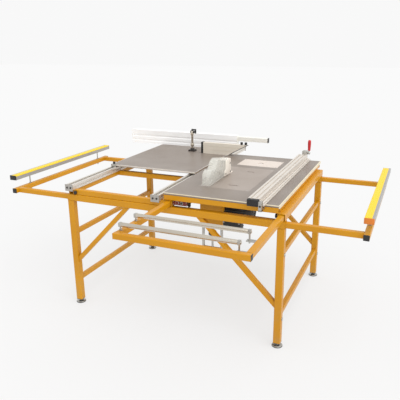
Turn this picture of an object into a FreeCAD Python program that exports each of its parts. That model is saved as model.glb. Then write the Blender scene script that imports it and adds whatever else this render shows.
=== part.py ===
import FreeCAD, Part
import math
import os

import Sketcher

# A sliding-table panel saw on a tubular stand.
# Frame: +X to the operator's right, +Y the feed direction, +Z up, millimetres.
# The origin is on the floor, in the middle of the whole machine's outline.

SIZES = {
    # stand
    "frame_width": 1315, "frame_depth": 965, "frame_back": 32.5,
    "leg_size": 40, "tube_wall": 2, "tube_corner": 4, "foot_gap": 25, "beam_bottom": 697,
    "bearer_size": 32, "side_rail_size": 28, "brace_size": 25,
    "left_rail_high": 485, "left_rail_low": 170, "right_rail_high": 550, "right_rail_low": 195,
    "foot_radius": 30, "foot_thick": 13, "stud_radius": 6, "stud_length": 60, "nut_radius": 10.8,
    "plug_collar": 3, "plug_depth": 20, "bolt_head": 9, "bolt_thick": 5,
    "left_brace_reach": 375, "left_brace_drop": 407, "right_brace_reach": 440, "right_brace_drop": 462,
    "rail_knob_offset": 45, "sleeve_knob_offset": 5, "knob_stud": 4, "knob_head": 11, "knob_depth": 14,
    # tops
    "top_height": 820, "top_thick": 12, "plate_thick": 6, "ledge": 10, "plate_gap": 0.5,
    "main_left": 645, "main_width": 655, "main_front": -20, "main_depth": 1070,
    "trim_thick": 6, "trim_drop": 4, "apron_thick": 24,
    "blade_plate_left": 770, "blade_plate_width": 310, "blade_plate_front": 170, "blade_plate_depth": 520,
    "router_left": 800, "router_width": 280, "router_front": 750, "router_depth": 180, "router_hole": 19,
    "router_hole_x": 943, "router_hole_y": 837, "kerf_width": 8, "kerf_length": 272, "finger_slot": 8,
    "front_slot_left": 926, "front_slot_length": 58, "front_slot_y": 255,
    "rear_slot_left": 929, "rear_slot_length": 45, "rear_slot_y": 590,
    # sleeve for the front extension's left arm, from the left legs
    "sleeve_offset": 672,
    # guide rails and sliding table
    "rail_width": 50, "rail_height": 33, "rail_start": -36, "rail_length": 1492, "rail_slot": 22,
    "rail_floor": 7, "left_rail_offset": 12, "centre_rail_offset": 598, "end_plate": 4,
    "slide_left": 0, "slide_width": 625, "slide_front": 453, "slide_depth": 790,
    "wheel_radius": 11.5, "wheel_width": 10, "wheel_pin": 3, "wheel_inset": 60, "wheel_lift": 0.3,
    # fences on the sliding table
    "long_fence_left": -280, "long_fence_right": 640, "long_fence_face": 1200, "long_fence_thick": 40,
    "long_fence_height": 108, "fence_wall": 4, "extension_end": 881,
    "short_fence_left": 430, "short_fence_right": 640, "short_fence_nose": 785, "short_fence_face": 1000,
    "short_fence_thick": 30, "short_fence_height": 80,
    "fence_groove": 3, "fence_groove_slope": 4, "upper_groove_top": 70, "upper_groove_bottom": 54,
    "lower_groove_top": 34, "lower_groove_bottom": 18, "channel_height": 38, "channel_play": 2,
    "extension_inside": 500, "short_groove_inset": 25, "short_groove_rise": 28,
    # hold-down on the sliding table, its heights from the table's top
    "post_x": 335, "post_y": 1050, "hold_foot_width": 52, "hold_foot_depth": 46, "hold_foot_height": 22,
    "hold_post_width": 26, "hold_post_depth": 14, "hold_socket_floor": 4, "hold_neck_low": 138,
    "hold_pivot_rise": 146, "hold_ear": 9, "hold_pin": 3, "hold_pin_length": 24, "hold_reach": 36,
    # rip fence
    "rip_left": 1150, "rip_width": 60, "rip_height": 37, "rip_front": -60, "rip_rear": 1056,
    "rip_lift": 1, "rip_clip": 24, "rip_foot": 25, "rip_wall": 5, "rip_clamp": 40, "lever_radius": 5,
    "lever_rise": 8, "grip_radius": 11, "grip_low": 20, "grip_high": 91,
    # saw unit
    "blade_x": 822, "blade_y": 340, "arbor_height": 730, "blade_radius": 150, "blade_thick": 3, "teeth": 32,
    "arbor_radius": 12.7, "flange_radius": 26, "motor_height": 650, "motor_radius": 66, "motor_face": 846,
    "motor_length": 212, "gear_case": 40, "gear_case_top": 790, "gear_case_foot": 560, "fan_cover": 34,
    "motor_box_low": 520, "motor_box_high": 596, "motor_box_start": 18, "motor_box_length": 124,
    "post_left": 803, "post_right": 919, "lift_y": 168, "lift_post_radius": 8, "lift_foot": 440,
    "hanger_drop": 205, "hanger_thick": 6, "screw_radius": 6, "lift_knob_radius": 24, "lift_knob_low": 524,
    "lift_knob_high": 559, "slab_thick": 22, "wing_thick": 8, "wing_end": 75, "running_gap": 0.05,
    # blade guard, from the left legs, the front legs and the table's top
    "guard_width": 50, "guard_gap": 6, "guard_wall": 3, "guard_front": 166, "nose_y": 208, "nose_rise": 42,
    "nose_radius": 43, "crown_y": 320, "crown_rise": 62, "crown_radius": 68, "shoulder_end": 440,
    "shoulder_rise": 112, "rear_start": 420, "guard_end": 507, "rear_rise": 94, "guard_pin_y": 491,
    "guard_pin_rise": 66, "guard_pin_radius": 4, "guard_post_width": 34, "guard_post_depth": 26,
    # switch
    "switch_left": 697, "switch_right": 783, "switch_front": -8, "switch_back": 52, "switch_height": 26,
    "stop_x": 722, "stop_radius": 9, "start_x": 750, "start_radius": 7, "gland_x": 773, "gland_y": 40,
    "cable_radius": 3.5,
    # extensions
    "arm_size": 30, "cross_outer": 1092, "side_arm_inside": 200, "cross_overhang": 35, "end_cap": 5,
    "bar_inner": 1058, "bar_width": 48, "bar_height": 30, "bar_top": 816, "bar_front": -30,
    "bar_length": 1050, "bar_post_inset": 140, "post_stem": 4, "post_nut": 8, "nut_thick": 6,
    "front_reach": 560, "front_arm_inside": 180, "roller_radius": 11, "roller_height": 801,
    "front_roller_y": -510, "rear_roller_y": -370, "roller_right_inset": 53, "roller_end_gap": 13,
}


class Size:
    """A length that carries both its spreadsheet expression and its value in mm."""

    def __init__(self, text, value):
        self.text, self.value = text, value

    def __add__(self, other):
        other = size(other)
        return Size(f"({self.text} + {other.text})", self.value + other.value)

    def __sub__(self, other):
        other = size(other)
        return Size(f"({self.text} - {other.text})", self.value - other.value)

    def __mul__(self, number):
        return Size(f"({self.text} * {number:.9g})", self.value * number)

    def __truediv__(self, number):
        return self * (1 / number)

    def __neg__(self):
        return self * -1

    def __rmul__(self, number):
        return self * number

    def __radd__(self, other):
        return size(other) + self

    def __rsub__(self, other):
        return size(other) - self


def size(value):
    return value if isinstance(value, Size) else Size(f"({value:.9g})", float(value))


doc = FreeCAD.newDocument("panel_saw")
sheet = doc.addObject("Spreadsheet::Sheet", "Sizes")
for row, (alias, value) in enumerate(SIZES.items(), start=1):
    sheet.set(f"A{row}", alias)
    sheet.set(f"B{row}", str(value))
    sheet.setAlias(f"B{row}", alias)
doc.recompute()


class Sheet:
    """The spreadsheet's cells by name, as Size values."""


S = Sheet()
for alias, value in SIZES.items():
    setattr(S, alias, Size(f"Sizes.{alias}", float(value)))

left_x, right_x = S.frame_width / -2, S.frame_width / 2
front_y = S.frame_back - S.frame_depth / 2
rear_y = S.frame_back + S.frame_depth / 2
beam_top = S.beam_bottom + S.leg_size
sleeve_top = beam_top + S.leg_size
bearer_top = beam_top + S.bearer_size
top_under = S.top_height - S.top_thick
plate_under = S.top_height - S.plate_thick


def across(offset):
    """An X measured from the centre line of the left legs."""
    return left_x + offset


def along(offset):
    """A Y measured from the centre line of the front legs."""
    return front_y + offset


def around(centre, width):
    """The two faces of something of this width about a centre."""
    return size(centre) - size(width) / 2, size(centre) + size(width) / 2


# ---- building blocks ----

OTHER = {"x": ("y", "z"), "y": ("x", "z"), "z": ("x", "y")}
DIRECTION = {"x": FreeCAD.Vector(1, 0, 0), "y": FreeCAD.Vector(0, 1, 0), "z": FreeCAD.Vector(0, 0, 1)}
TURN = {
    "x": FreeCAD.Rotation(FreeCAD.Vector(1, 1, 1), 120),
    "y": FreeCAD.Rotation(FreeCAD.Vector(1, 1, 1), 240),
    "z": FreeCAD.Rotation(),
}
UNIT_BOX = Part.makeBox(1, 1, 1)
BOX_EDGES = {
    axis: [number for number, edge in enumerate(UNIT_BOX.Edges, start=1)
           if abs(edge.tangentAt(edge.FirstParameter).dot(DIRECTION[axis])) > 0.9]
    for axis in "xyz"
}


def bind(thing, name, value):
    thing.setExpression(name, size(value).text)


def block(name, x, y, z):
    """A rectangular block between three pairs of faces."""
    solid = doc.addObject("Part::Box", name)
    for axis, side, (low, high) in zip("xyz", ("Length", "Width", "Height"), (x, y, z)):
        bind(solid, side, size(high) - low)
        bind(solid, f"Placement.Base.{axis}", low)
    return solid


def rod(name, axis, centre, radius, low, high):
    """A round bar along an axis; centre gives its other two coordinates in X, Y, Z order."""
    solid = doc.addObject("Part::Cylinder", name)
    bind(solid, "Radius", radius)
    bind(solid, "Height", size(high) - low)
    solid.Placement = FreeCAD.Placement(FreeCAD.Vector(), TURN[axis])
    bind(solid, f"Placement.Base.{axis}", low)
    for other, place in zip(OTHER[axis], centre):
        bind(solid, f"Placement.Base.{other}", place)
    return solid


def hexagon(name, axis, centre, radius, low, high):
    """A bolt head or nut."""
    solid = doc.addObject("Part::Prism", name)
    solid.Polygon = 6
    bind(solid, "Circumradius", radius)
    bind(solid, "Height", size(high) - low)
    solid.Placement = FreeCAD.Placement(FreeCAD.Vector(), TURN[axis])
    bind(solid, f"Placement.Base.{axis}", low)
    for other, place in zip(OTHER[axis], centre):
        bind(solid, f"Placement.Base.{other}", place)
    return solid


def rounded(name, box, axis, radius):
    """A block with its four edges along one axis rounded."""
    smooth = doc.addObject("Part::Fillet", name)
    smooth.Base = box
    smooth.Edges = [(number, radius.value, radius.value) for number in BOX_EDGES[axis]]
    return smooth


def join(name, *parts):
    whole = doc.addObject("Part::MultiFuse", name)
    whole.Shapes = list(parts)
    return whole


def cut(name, base, *tools):
    hole = tools[0] if len(tools) == 1 else join(name + "_tools", *tools)
    rest = doc.addObject("Part::Cut", name)
    rest.Base, rest.Tool = base, hole
    return rest


def tube(name, axis, x, y, z, wall=None):
    """A rectangular tube with rounded corners, open at both ends."""
    wall = wall or S.tube_wall
    skin = rounded(name + "_skin", block(name + "_bar", x, y, z), axis, S.tube_corner)
    inner = {}
    for letter, (low, high) in zip("xyz", (x, y, z)):
        grow = 1 if letter == axis else -wall
        inner[letter] = (size(low) - grow, size(high) + grow)
    return cut(name, skin, block(name + "_hollow", inner["x"], inner["y"], inner["z"]))


def profile(name, axis, points, low, high):
    """A Body padded along an axis; points are pairs of the other two coordinates in X, Y, Z order."""
    body = doc.addObject("PartDesign::Body", name)
    plane = next(item for item in body.Origin.OriginFeatures if item.Role == "XY_Plane")
    sketch = body.newObject("Sketcher::SketchObject", name + "_outline")
    sketch.AttachmentSupport = [(plane, "")]
    sketch.MapMode = "FlatFace"
    corners = [(size(b), size(a)) if axis == "y" else (size(a), size(b)) for a, b in points]
    places = [FreeCAD.Vector(u.value, v.value, 0) for u, v in corners]
    for start, end in zip(places, places[1:] + places[:1]):
        sketch.addGeometry(Part.LineSegment(start, end))
    last = len(corners)
    for line in range(last):
        sketch.addConstraint(Sketcher.Constraint("Coincident", line, 2, (line + 1) % last, 1))
    for line, (u, v) in enumerate(corners):
        for kind, place in (("DistanceX", u), ("DistanceY", v)):
            index = sketch.addConstraint(Sketcher.Constraint(kind, -1, 1, line, 1, place.value))
            sketch.setExpression(f"Constraints[{index}]", place.text)
    pad = body.newObject("PartDesign::Pad", name + "_pad")
    pad.Profile = sketch
    bind(pad, "Length", size(high) - low)
    body.Placement = FreeCAD.Placement(FreeCAD.Vector(), TURN[axis])
    bind(body, f"Placement.Base.{axis}", low)
    return body


nodes = []


def node(name, *solids):
    """Name a finished piece; several separate solids of one kind share a node."""
    if len(solids) == 1:
        piece = solids[0]
    else:
        piece = doc.addObject("Part::Compound", name)
        piece.Links = list(solids)
    piece.Label = name
    nodes.append(piece)
    return piece


CORNERS = [("left", left_x, "front", front_y), ("right", right_x, "front", front_y),
           ("left", left_x, "rear", rear_y), ("right", right_x, "rear", rear_y)]
SIDES = {"left": -1, "right": 1}


# ---- stand ----

def make_stand():
    half = S.leg_size / 2
    legs, feet = [], []
    for side, x, end, y in CORNERS:
        name = f"{end}_{side}"
        legs.append(tube(name + "_leg", "z", around(x, S.leg_size), around(y, S.leg_size),
                         (S.foot_gap, S.beam_bottom)))
        pad = rod(name + "_pad", "z", (x, y), S.foot_radius, 0, S.foot_thick)
        stud = rod(name + "_stud", "z", (x, y), S.stud_radius, S.foot_thick - 1, S.stud_length)
        collar_low = S.foot_gap - S.plug_collar
        nut = hexagon(name + "_nut", "z", (x, y), S.nut_radius, S.foot_thick, collar_low + 1)
        collar = block(name + "_collar", around(x, S.leg_size), around(y, S.leg_size),
                       (collar_low, S.foot_gap))
        inside = S.leg_size - 2 * S.tube_wall - 2 * S.running_gap
        plug = rounded(name + "_plug", block(name + "_plug_blank", around(x, inside), around(y, inside),
                                             (S.foot_gap - 1, S.foot_gap + S.plug_depth)), "z", S.tube_corner)
        feet.append(join(name + "_foot", pad, stud, nut, collar, plug))
    node("legs", *legs)
    node("levelling_feet", *feet)

    beam_x = (left_x - half, right_x + half)
    beam_z = (S.beam_bottom, beam_top)
    node("main_beams", *[tube(end + "_beam", "x", beam_x, around(y, S.leg_size), beam_z)
                         for end, y in (("front", front_y), ("rear", rear_y))])

    bearer_z = (beam_top, bearer_top)
    side_y = (front_y - half, rear_y + half)
    left_bearer = tube("left_bearer", "y", around(across(S.left_rail_offset), S.bearer_size), side_y,
                       bearer_z)
    cross_x = (across(S.left_rail_offset + S.bearer_size / 2), across(S.sleeve_offset) - half)
    knob_hole = rod("knob_hole", "y", (across(S.rail_knob_offset), beam_top + S.bearer_size / 2),
                    S.knob_stud + S.running_gap, front_y - S.bearer_size, front_y)
    front_bearer = cut("front_bearer", tube("front_bearer_tube", "x", cross_x,
                                            around(front_y, S.bearer_size), bearer_z), knob_hole)
    cross_bearers = [tube(f"{end}_bearer", "x", cross_x, around(y, S.bearer_size), bearer_z)
                     for end, y in (("middle", along(500)), ("rear", rear_y))]
    node("rail_bearers", left_bearer, front_bearer, *cross_bearers)

    sleeve_z = (beam_top, sleeve_top)
    screw_hole = rod("sleeve_screw_hole", "x", (along(S.sleeve_knob_offset), beam_top + half),
                     S.knob_stud + S.running_gap, right_x - S.leg_size, right_x)
    right_sleeve = cut("right_sleeve", tube("right_sleeve_tube", "y", around(right_x, S.leg_size),
                                            side_y, sleeve_z), screw_hole)
    node("extension_sleeves", right_sleeve,
         tube("left_sleeve", "y", around(across(S.sleeve_offset), S.leg_size), side_y, sleeve_z))

    rails = []
    for side, x in (("left", left_x), ("right", right_x)):
        for level in ("high", "low"):
            height = getattr(S, f"{side}_rail_{level}")
            rails.append(tube(f"{side}_{level}_rail", "y", around(x, S.side_rail_size),
                              (front_y + half, rear_y - half), around(height, S.side_rail_size)))
    node("side_rails", *rails)


def brace(name, leg_face, toward, y, reach, drop):
    """A mitred bar from a leg's inner face up to the underside of a beam."""
    slope = math.hypot(reach, drop)
    rise, run = S.brace_size * (slope / reach), S.brace_size * (slope / drop)
    foot, head = S.beam_bottom - drop, leg_face + toward * reach
    points = [(leg_face, foot), (head + run * toward / 2, S.beam_bottom),
              (head - run * toward / 2, S.beam_bottom), (leg_face, foot + rise)]
    return profile(name, "y", points, *around(y, S.brace_size))


def make_braces():
    half = S.leg_size / 2
    node("braces",
         *[brace(f"{end}_{side}_brace", x - half * SIDES[side], -SIDES[side], y,
                 SIZES[side + "_brace_reach"], SIZES[side + "_brace_drop"]) for side, x, end, y in CORNERS])
    bolts = []
    for side, x, end, y in CORNERS:
        outward = SIDES[side]
        face = x + half * outward
        for count, height in enumerate((S.left_rail_high, S.left_rail_low) if side == "left"
                                       else (S.right_rail_high, S.right_rail_low)):
            low, high = sorted((face, face + S.bolt_thick * outward), key=lambda edge: edge.value)
            bolts.append(hexagon(f"{end}_{side}_bolt_{count}", "x", (y, height), S.bolt_head, low, high))
    node("frame_bolts", *bolts)


# ---- fixed table ----

def make_main_table():
    x = (across(S.main_left), across(S.main_left + S.main_width))
    y = (along(S.main_front), along(S.main_front + S.main_depth))
    z = (sleeve_top, top_under)
    side_y = (y[0] + S.apron_thick, y[1] - S.apron_thick)
    node("table_apron",
         tube("front_apron", "x", x, (y[0], side_y[0]), z),
         tube("rear_apron", "x", x, (side_y[1], y[1]), z),
         tube("left_apron", "y", (x[0], x[0] + S.apron_thick), side_y, z),
         tube("right_apron", "y", (x[1] - S.apron_thick, x[1]), side_y, z))

    blade_x = (across(S.blade_plate_left), across(S.blade_plate_left + S.blade_plate_width))
    blade_y = (along(S.blade_plate_front), along(S.blade_plate_front + S.blade_plate_depth))
    router_x = (across(S.router_left), across(S.router_left + S.router_width))
    router_y = (along(S.router_front), along(S.router_front + S.router_depth))
    openings = []
    for name, hole_x, hole_y in (("blade", blade_x, blade_y), ("router", router_x, router_y)):
        openings.append(block(name + "_seat", hole_x, hole_y, (plate_under, S.top_height + 1)))
        openings.append(block(name + "_window", (hole_x[0] + S.ledge, hole_x[1] - S.ledge),
                              (hole_y[0] + S.ledge, hole_y[1] - S.ledge), (top_under - 1, plate_under + 1)))
    slab = profile("table_slab", "z", [(x[0], y[0]), (x[1], y[0]), (x[1], y[1]), (x[0], y[1])],
                   top_under, S.top_height)
    node("main_table", cut("table_top", slab, *openings))
    node("table_edge_trim", block("right_edge", (x[1], x[1] + S.trim_thick), y,
                                  (top_under - S.trim_drop, S.top_height)))

    def plate(name, px, py, *holes):
        gap = S.plate_gap
        sheet_metal = block(name + "_blank", (px[0] + gap, px[1] - gap), (py[0] + gap, py[1] - gap),
                            (plate_under, S.top_height))
        node(name, cut(name + "_sheet", sheet_metal, *holes))

    deep = (plate_under - 1, S.top_height + 1)
    slots = [block("kerf", around(across(S.blade_x), S.kerf_width),
                   around(along(S.blade_y), S.kerf_length), deep)]
    finger_slots = (("front_slot", S.front_slot_left, S.front_slot_length, S.front_slot_y),
                    ("rear_slot", S.rear_slot_left, S.rear_slot_length, S.rear_slot_y))
    for name, left, length, slot_y in finger_slots:
        slots.append(block(name, (across(left), across(left + length)),
                           around(along(slot_y), S.finger_slot), deep))
    plate("blade_plate", blade_x, blade_y, *slots)
    plate("router_plate", router_x, router_y,
          rod("router_hole", "z", (across(S.router_hole_x), along(S.router_hole_y)), S.router_hole, *deep))


# ---- guide rails and sliding table ----

def rail_outline(centre):
    """A guide rail's section: a deep slot for the wheels on top and a groove in each side."""
    left, right = around(centre, S.rail_width)
    slot_left, slot_right = around(centre, S.rail_slot)
    low, high = bearer_top, bearer_top + S.rail_height
    floor = low + S.rail_floor
    lip, groove_low, groove_high = 5, low + 13, low + 21
    return [(left, low), (right, low), (right, groove_low), (right - lip, groove_low),
            (right - lip, groove_high), (right, groove_high), (right, high), (slot_right, high),
            (slot_right, floor), (slot_left, floor),
            (slot_left, high), (left, high), (left, groove_high), (left + lip, groove_high),
            (left + lip, groove_low), (left, groove_low)]


def make_rails():
    start = along(S.rail_start)
    finish = start + S.rail_length
    rails, plates = [], []
    for name, offset in (("left", S.left_rail_offset), ("centre", S.centre_rail_offset)):
        centre = across(offset)
        rails.append(profile(name + "_guide_rail", "y", rail_outline(centre), start, finish))
        for end, low, high in (("front", start - S.end_plate, start),
                               ("rear", finish, finish + S.end_plate)):
            plates.append(block(f"{name}_{end}_plate", around(centre, S.rail_width + 4), (low, high),
                                (bearer_top - 6, bearer_top + S.rail_height + 2)))
    node("guide_rails", *rails)
    node("rail_end_plates", *plates)


def wheel_places():
    return [(end, along(S.slide_front + S.wheel_inset) if end == "front"
             else along(S.slide_front + S.slide_depth - S.wheel_inset)) for end in ("front", "rear")]


def make_sliding_table():
    x = (across(S.slide_left), across(S.slide_left + S.slide_width))
    y = (along(S.slide_front), along(S.slide_front + S.slide_depth))
    corners = [(x[0], y[0]), (x[1], y[0]), (x[1], y[1]), (x[0], y[1])]
    node("sliding_table", profile("sliding_slab", "z", corners, top_under, S.top_height))
    axle_z = bearer_top + S.rail_floor + S.wheel_lift + S.wheel_radius
    brackets = []
    for end, wheel_y in wheel_places():
        wheels = []
        for name, offset in (("left", S.left_rail_offset), ("centre", S.centre_rail_offset)):
            centre = across(offset)
            foot = block(f"{end}_{name}_foot", around(centre, 18), around(wheel_y, 60),
                         (bearer_top + S.rail_height + 1, top_under))
            cheek = block(f"{end}_{name}_cheek", (centre - 9, centre - 4), around(wheel_y, 24),
                          (axle_z - 8, bearer_top + S.rail_height + 2))
            pin = rod(f"{end}_{name}_pin", "x", (wheel_y, axle_z), S.wheel_pin, centre - 5, centre + 8)
            brackets.append(join(f"{end}_{name}_bracket", foot, cheek, pin))
            tyre = rod(f"{end}_{name}_tyre", "x", (wheel_y, axle_z), S.wheel_radius,
                       centre - 3, centre - 3 + S.wheel_width)
            bore = rod(f"{end}_{name}_bore", "x", (wheel_y, axle_z), S.wheel_pin + S.running_gap,
                       centre - 4, centre + S.wheel_width)
            wheels.append(cut(f"{end}_{name}_wheel", tyre, bore))
        node(end + "_wheels", *wheels)
    node("wheel_brackets", *brackets)


def make_crosscut_fences():
    low, face = S.top_height, along(S.long_fence_face)
    high = low + S.long_fence_height
    back = face + S.long_fence_thick
    wall = S.fence_wall
    x = (across(S.long_fence_left), across(S.long_fence_right))
    deep, slope = S.fence_groove, S.fence_groove_slope
    section = [(face, low), (back, low), (back, high), (face, high)]
    for top, bottom in ((S.upper_groove_top, S.upper_groove_bottom),
                        (S.lower_groove_top, S.lower_groove_bottom)):
        section += [(face, low + top), (face + deep, low + top - slope),
                    (face + deep, low + bottom + slope), (face, low + bottom)]
    shell = profile("long_fence_section", "x", section, *x)
    past = (x[0] - 1, x[1] + 1)
    channel_low = high - wall - S.channel_height
    channel = block("long_fence_channel", past, (face + wall, back - wall), (channel_low, high - wall))
    lower = block("long_fence_lower", past, (face + 2 * wall, back - wall), (low + wall, channel_low - wall))
    node("long_fence", cut("long_fence_hollow", shell, channel, lower))
    play = S.channel_play
    node("fence_extension", tube("fence_extension_bar", "x",
                                 (x[1] - S.extension_inside, across(S.extension_end)),
                                 (face + wall + play, back - wall - play),
                                 (channel_low + play, high - wall - play)))

    nose_low = low + 2
    nose_high = nose_low + S.short_fence_height
    near = along(S.short_fence_face)
    bar = profile("short_fence_bar", "y",
                  [(across(S.short_fence_left), low), (across(S.slide_width), low),
                   (across(S.slide_width), nose_low), (across(S.short_fence_right), nose_low),
                   (across(S.short_fence_nose), nose_high), (across(S.short_fence_left), nose_high)],
                  near, near + S.short_fence_thick)
    groove_x = (across(S.short_fence_left + S.short_groove_inset), across(S.short_fence_nose))
    grooves = [block(f"short_fence_groove_{count}", groove_x, (near - 1, near + S.fence_groove),
                     around(low + S.short_groove_rise * (count + 1) - 2, 2 * S.fence_groove))
               for count in range(2)]
    node("short_fence", cut("short_fence_grooved", bar, *grooves))


def make_hold_down():
    x, y = across(S.post_x), along(S.post_y)
    low = S.top_height
    width, depth, play = S.hold_post_width, S.hold_post_depth, 0.3
    foot = block("hold_down_foot", around(x, S.hold_foot_width), around(y, S.hold_foot_depth),
                 (low, low + S.hold_foot_height))
    socket = block("hold_down_socket", around(x, width + 2 * play), around(y, depth + 2 * play),
                   (low + S.hold_socket_floor - 1, low + S.hold_foot_height + 1))
    node("hold_down_base", cut("hold_down_block", foot, socket))
    neck_low, pivot_z = low + S.hold_neck_low, low + S.hold_pivot_rise
    pivot = (y, pivot_z)
    bar = block("hold_down_bar", around(x, width), around(y, depth), (low + S.hold_socket_floor, neck_low))
    ear = rod("hold_down_ear", "x", pivot, S.hold_ear, x - 5, x + 5)
    neck = block("hold_down_neck", around(x, 10), around(y, depth), (neck_low, pivot_z))
    eye = rod("hold_down_eye", "x", pivot, S.hold_pin + S.running_gap, x - 6, x + 6)
    node("hold_down_post", cut("hold_down_upright", join("hold_down_stem", bar, neck, ear), eye))
    outer = S.hold_pin_length / 2
    pin = rod("lever_pin", "x", pivot, S.hold_pin, x - outer, x + outer)
    cheeks = [block(f"lever_cheek_{side}", span_x, around(y, 10), (pivot_z - 5, pivot_z + 18))
              for side, span_x in (("left", (x - outer, x - 5.4)), ("right", (x + 5.4, x + outer)))]
    top_z = (pivot_z + 12, pivot_z + 24)
    reach = x + S.hold_reach
    top = block("lever_top", around(x, 2 * outer), around(y, 16), top_z)
    hook = block("lever_hook", (x + 10, reach), around(y, depth), top_z)
    tip = block("lever_tip", (reach - 10, reach), around(y, depth), (pivot_z - 10, pivot_z + 16))
    node("hold_down_lever", join("hold_down_handle", pin, *cheeks, top, hook, tip))


# ---- rip fence ----

def make_rip_fence():
    x0 = across(S.rip_left)
    x1 = x0 + S.rip_width
    low = S.top_height + S.rip_lift
    high = low + S.rip_height
    y = (along(S.rip_front), along(S.rip_rear))
    foot, groove, wall = x1 + S.rip_foot, S.rip_wall, S.rip_wall
    section = [(x0, low), (foot, low), (foot, low + 6), (foot - 5, low + 6), (foot - 5, low + 4),
               (foot - 9, low + 4), (foot - 9, low + 10), (x1 + 8, low + 12), (x1 + 8, low + 9),
               (x1 + 4, low + 9), (x1 + 4, low + 14), (x1, low + 14), (x1, high)]
    for left, right in ((x1 - 22, x1 - 12), (x0 + 12, x0 + 20)):
        section += [(right, high), (right, high - groove), (left, high - groove), (left, high)]
    section += [(x0, high), (x0, low + 26), (x0 + 3, low + 26), (x0 + 3, low + 16), (x0, low + 16)]
    body = profile("rip_fence_section", "y", section, *y)
    hollow = block("rip_fence_hollow", (x0 + 2 * wall, x1 - wall), (y[0] - 1, y[1] + 1),
                   (low + wall, high - groove - wall))
    node("rip_fence", cut("rip_fence_bar", body, hollow))
    node("rip_fence_head", rounded("rip_head", block("rip_head_block", (x0, x1), (y[0] - S.rip_clip, y[0]),
                                                     (low, high - 1)), "y", S.tube_corner))
    clip_x, clip_y = (x1 + 1, x1 + 19), (y[0] - S.rip_clip, y[0])
    front_clamp = join("front_clamp", block("front_clamp_plate", clip_x, clip_y, (low - 24, high - 8)),
                       block("front_clamp_lip", clip_x, (clip_y[0], along(S.main_front) - 4),
                             (low - 24, low - 14)))
    clamp_x, clamp_y = (x0 + 22, x1 - 6), (y[1], y[1] + S.rip_clamp)
    rear_block = block("rear_clamp_block", clamp_x, clamp_y, (low - 30, high + 22))
    lever = (y[1] + S.rip_clamp / 2, high + S.lever_rise)
    lever_y, lever_z = lever
    lever_hole = rod("rear_clamp_hole", "x", lever, S.lever_radius + S.running_gap, clamp_x[1] - 14,
                     clamp_x[1] + 1)
    node("rip_fence_clamp", front_clamp, cut("rear_clamp", rear_block, lever_hole))
    pivot = rod("lever_pivot", "x", lever, S.lever_radius, clamp_x[1] - 13, clamp_x[1] + 2)
    hub = rod("lever_hub", "x", lever, 9, clamp_x[1] + 0.4, clamp_x[1] + 20)
    stem_x = clamp_x[1] + 12.5
    stem = rod("lever_stem", "z", (stem_x, lever_y), S.lever_radius, lever_z, lever_z + 30)
    grip = rod("lever_grip", "z", (stem_x, lever_y), S.grip_radius, lever_z + S.grip_low,
               lever_z + S.grip_high)
    node("rip_lever", join("rip_handle", pivot, hub, stem, grip))


# ---- saw unit ----

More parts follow.
